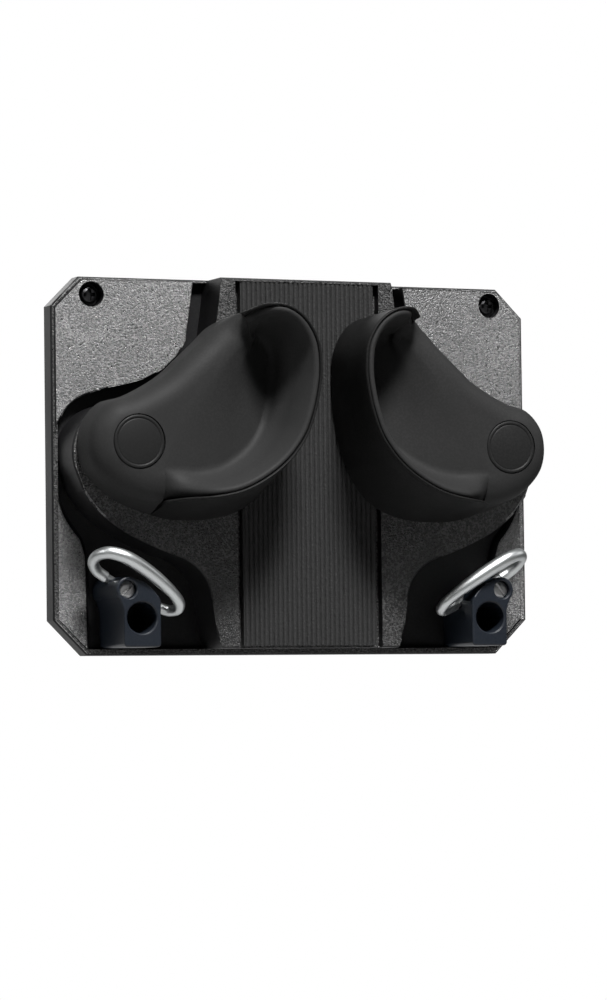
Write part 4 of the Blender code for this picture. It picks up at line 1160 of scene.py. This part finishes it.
print("post outline:", len(post_outline()), "points")


# %% Posts
def build_post(name, side):
    """A post, bored for its two screws, with a socket for each end of its loop."""
    bm = rounded_slab(mirrored(post_outline(), side), POST_BACK, POST_D, *FINE_EDGE)
    post = new_piece(f"{name}_post_body", bm, post_plastic)
    for label, (x, z), radius, back, chamfer in BORES:
        if chamfer:
            carve(post, block(label, mouth(side * x, z, radius, back, chamfer)))
        else:
            carve(post, block(label, drum(side * x, z, radius, back, POST_D)))
    for label, (start, end) in SOCKETS.items():
        carve(post, block(label, socket(hinge_frame(side), start, end)))
    post.modifiers.new("flat_faces", "WEIGHTED_NORMAL").keep_sharp = True
    hang(post, "base", f"{name}_pole_post", 35)


for name, side in SIDES.items():
    build_post(name, side)


# %% Post screws
HEAD_SEAT = POST_D - 4.5
SLOT_SIZE, SLOT_D = (12, 3.4, 1.5), HEAD_SEAT + 2.6
# Radius and depth: the shank's point and side, then the head, as radius and height above its seat.
SHANK = [(0, 1.8), (0.7, 3.2), (1.9, 6.6)]
HEAD = [(1.9, 0), (4.1, 0), (4.1, 1.5), (3.95, 1.9), (3.5, 2.2), (2.4, 2.36), (0, 2.4)]
SLOT_TURN = {"left": -42, "right": -126}  # degrees


def build_post_screw(name, side):
    """A bright cheese-head screw with a slot, as it was left when it was driven home."""
    x, z = side * POST_SCREW[0], POST_SCREW[1]
    profile = SHANK + [(radius, HEAD_SEAT + rise) for radius, rise in HEAD]
    screw = new_piece(f"{name}_slotted_screw", turned(profile, x, z, 56), post_steel)
    bm = bmesh.new()
    size = Matrix.Diagonal((*(s * MM for s in SLOT_SIZE), 1))
    place = Matrix.Translation(spot(x, SLOT_D, z))
    turn = Matrix.Rotation(radians(SLOT_TURN[name]), 4, "Y")
    bmesh.ops.create_cube(bm, size=1, matrix=place @ turn @ size)
    carve(screw, block("slot_cutter", bm))
    hang(screw, "base", f"{name}_post_screw", 35)


for name, side in SIDES.items():
    build_post_screw(name, side)

# %% [markdown]
# ## The loops
# Each loop is one bent rod, thicker along its bow, whose ends turn down into sockets in the post. Rings
# are set across a smooth route drawn in the loop's own frame, so the rod keeps a round section through
# its bends.

# %% Loops
# Places (x, z) along the rod in its hinge's frame.
LOOP_ROWS = [(-14.5, 0.0), (-20.0, 1.0), (-24.6, 5.0), (-25.6, 11.0), (-22.6, 16.6), (-16.0, 19.5)]
LOOP_ROWS += [(-8.0, 19.6), (0.5, 18.3), (9.0, 16.3), (16.5, 13.7), (22.0, 10.2), (24.0, 5.6)]
LOOP_ROWS += [(21.4, 1.4), (16.5, 0.0)]
ROD_R, BOW_R, SHOULDER_R, NECK_R, TIP_R = 2.75, 3.4, 2.45, 2.1, 1.9
ROD_SIDES = 24


def loop_route():
    """The rod's centre line as x along the hinge, z out from it, and radius, with a neck at each end."""
    rod = []
    for x, z in smooth_through(LOOP_ROWS, 8):
        swell = max(0, 1 - ((x + 6) / 22) ** 2) * min(max((z - 8) / 8, 0), 1)
        rod.append((x, z, blend(ROD_R, BOW_R, swell)))
    first, last = rod[0][0] + 0.6, rod[-1][0] - 3
    start = [(-9.9, 0, TIP_R), (-10.2, 0, NECK_R), (first + 0.35, 0, NECK_R)]
    start += [(first, 0, SHOULDER_R), (first - 0.25, 0, ROD_R)]
    end = [(last + 0.25, 0, ROD_R), (last, 0, SHOULDER_R), (last - 0.35, 0, NECK_R)]
    return start + rod + end + [(6.9, 0, NECK_R), (6.6, 0, TIP_R)]


def build_loop(name, side):
    """A loop's rod, as round rings across its route."""
    route = loop_route()
    turns = [2 * pi * k / ROD_SIDES for k in range(ROD_SIDES)]
    rings = []
    for i, (x, z, r) in enumerate(route):
        before, after = route[max(i - 1, 0)], route[min(i + 1, len(route) - 1)]
        along = Vector((after[0] - before[0], 0, after[1] - before[1])).normalized()
        centre, across, aside = Vector((x, 0, z)), Vector((along.z, 0, -along.x)), Vector((0, 1, 0))
        rings.append([centre + r * (cos(t) * across + sin(t) * aside) for t in turns])
    hinge = hinge_frame(side)
    bm, loop = joined_rings(rings, lambda p: hinge @ (p * MM))
    bm.faces.new(loop)
    rod = new_piece(f"{name}_loop_rod", bm, aluminium)
    hang(rod, f"{name}_loop", f"{name}_strap_loop", 60)


for name, side in SIDES.items():
    build_loop(name, side)

# %% [markdown]
# ## Finishes on the solids that stay
# Wall screws, bolts, washers, bushes and nuts are right as they are, so they only change their material.
# Each solid gets the finish of its kind, which is the first below that its name ends with.

# %% Assign finishes
FINISH_OF = {
    "base_plate": plate_grained,
    "channel_pad": pad_rubber,
    "arm": arm_rubber,
    "grip_pad": grip_rubber,
    "pivot_cap": cap_plastic,
    "pole_post": post_plastic,
    "post_screw": post_steel,
    "strap_loop": aluminium,
    "wall_screw": black_steel,
    "thrust_washer": nylon,
    "arm_bushing": nylon,
    "front_washer": pivot_steel,
    "lock_nut": pivot_steel,
    "pivot_bolt": pivot_steel,
    "washer": black_steel,
}
for name, obj in nodes.items():
    kind = next(k for k in FINISH_OF if name.endswith(k))
    for slot in obj.material_slots:
        slot.material = FINISH_OF[kind]
print("dressed", len(nodes), "solids")
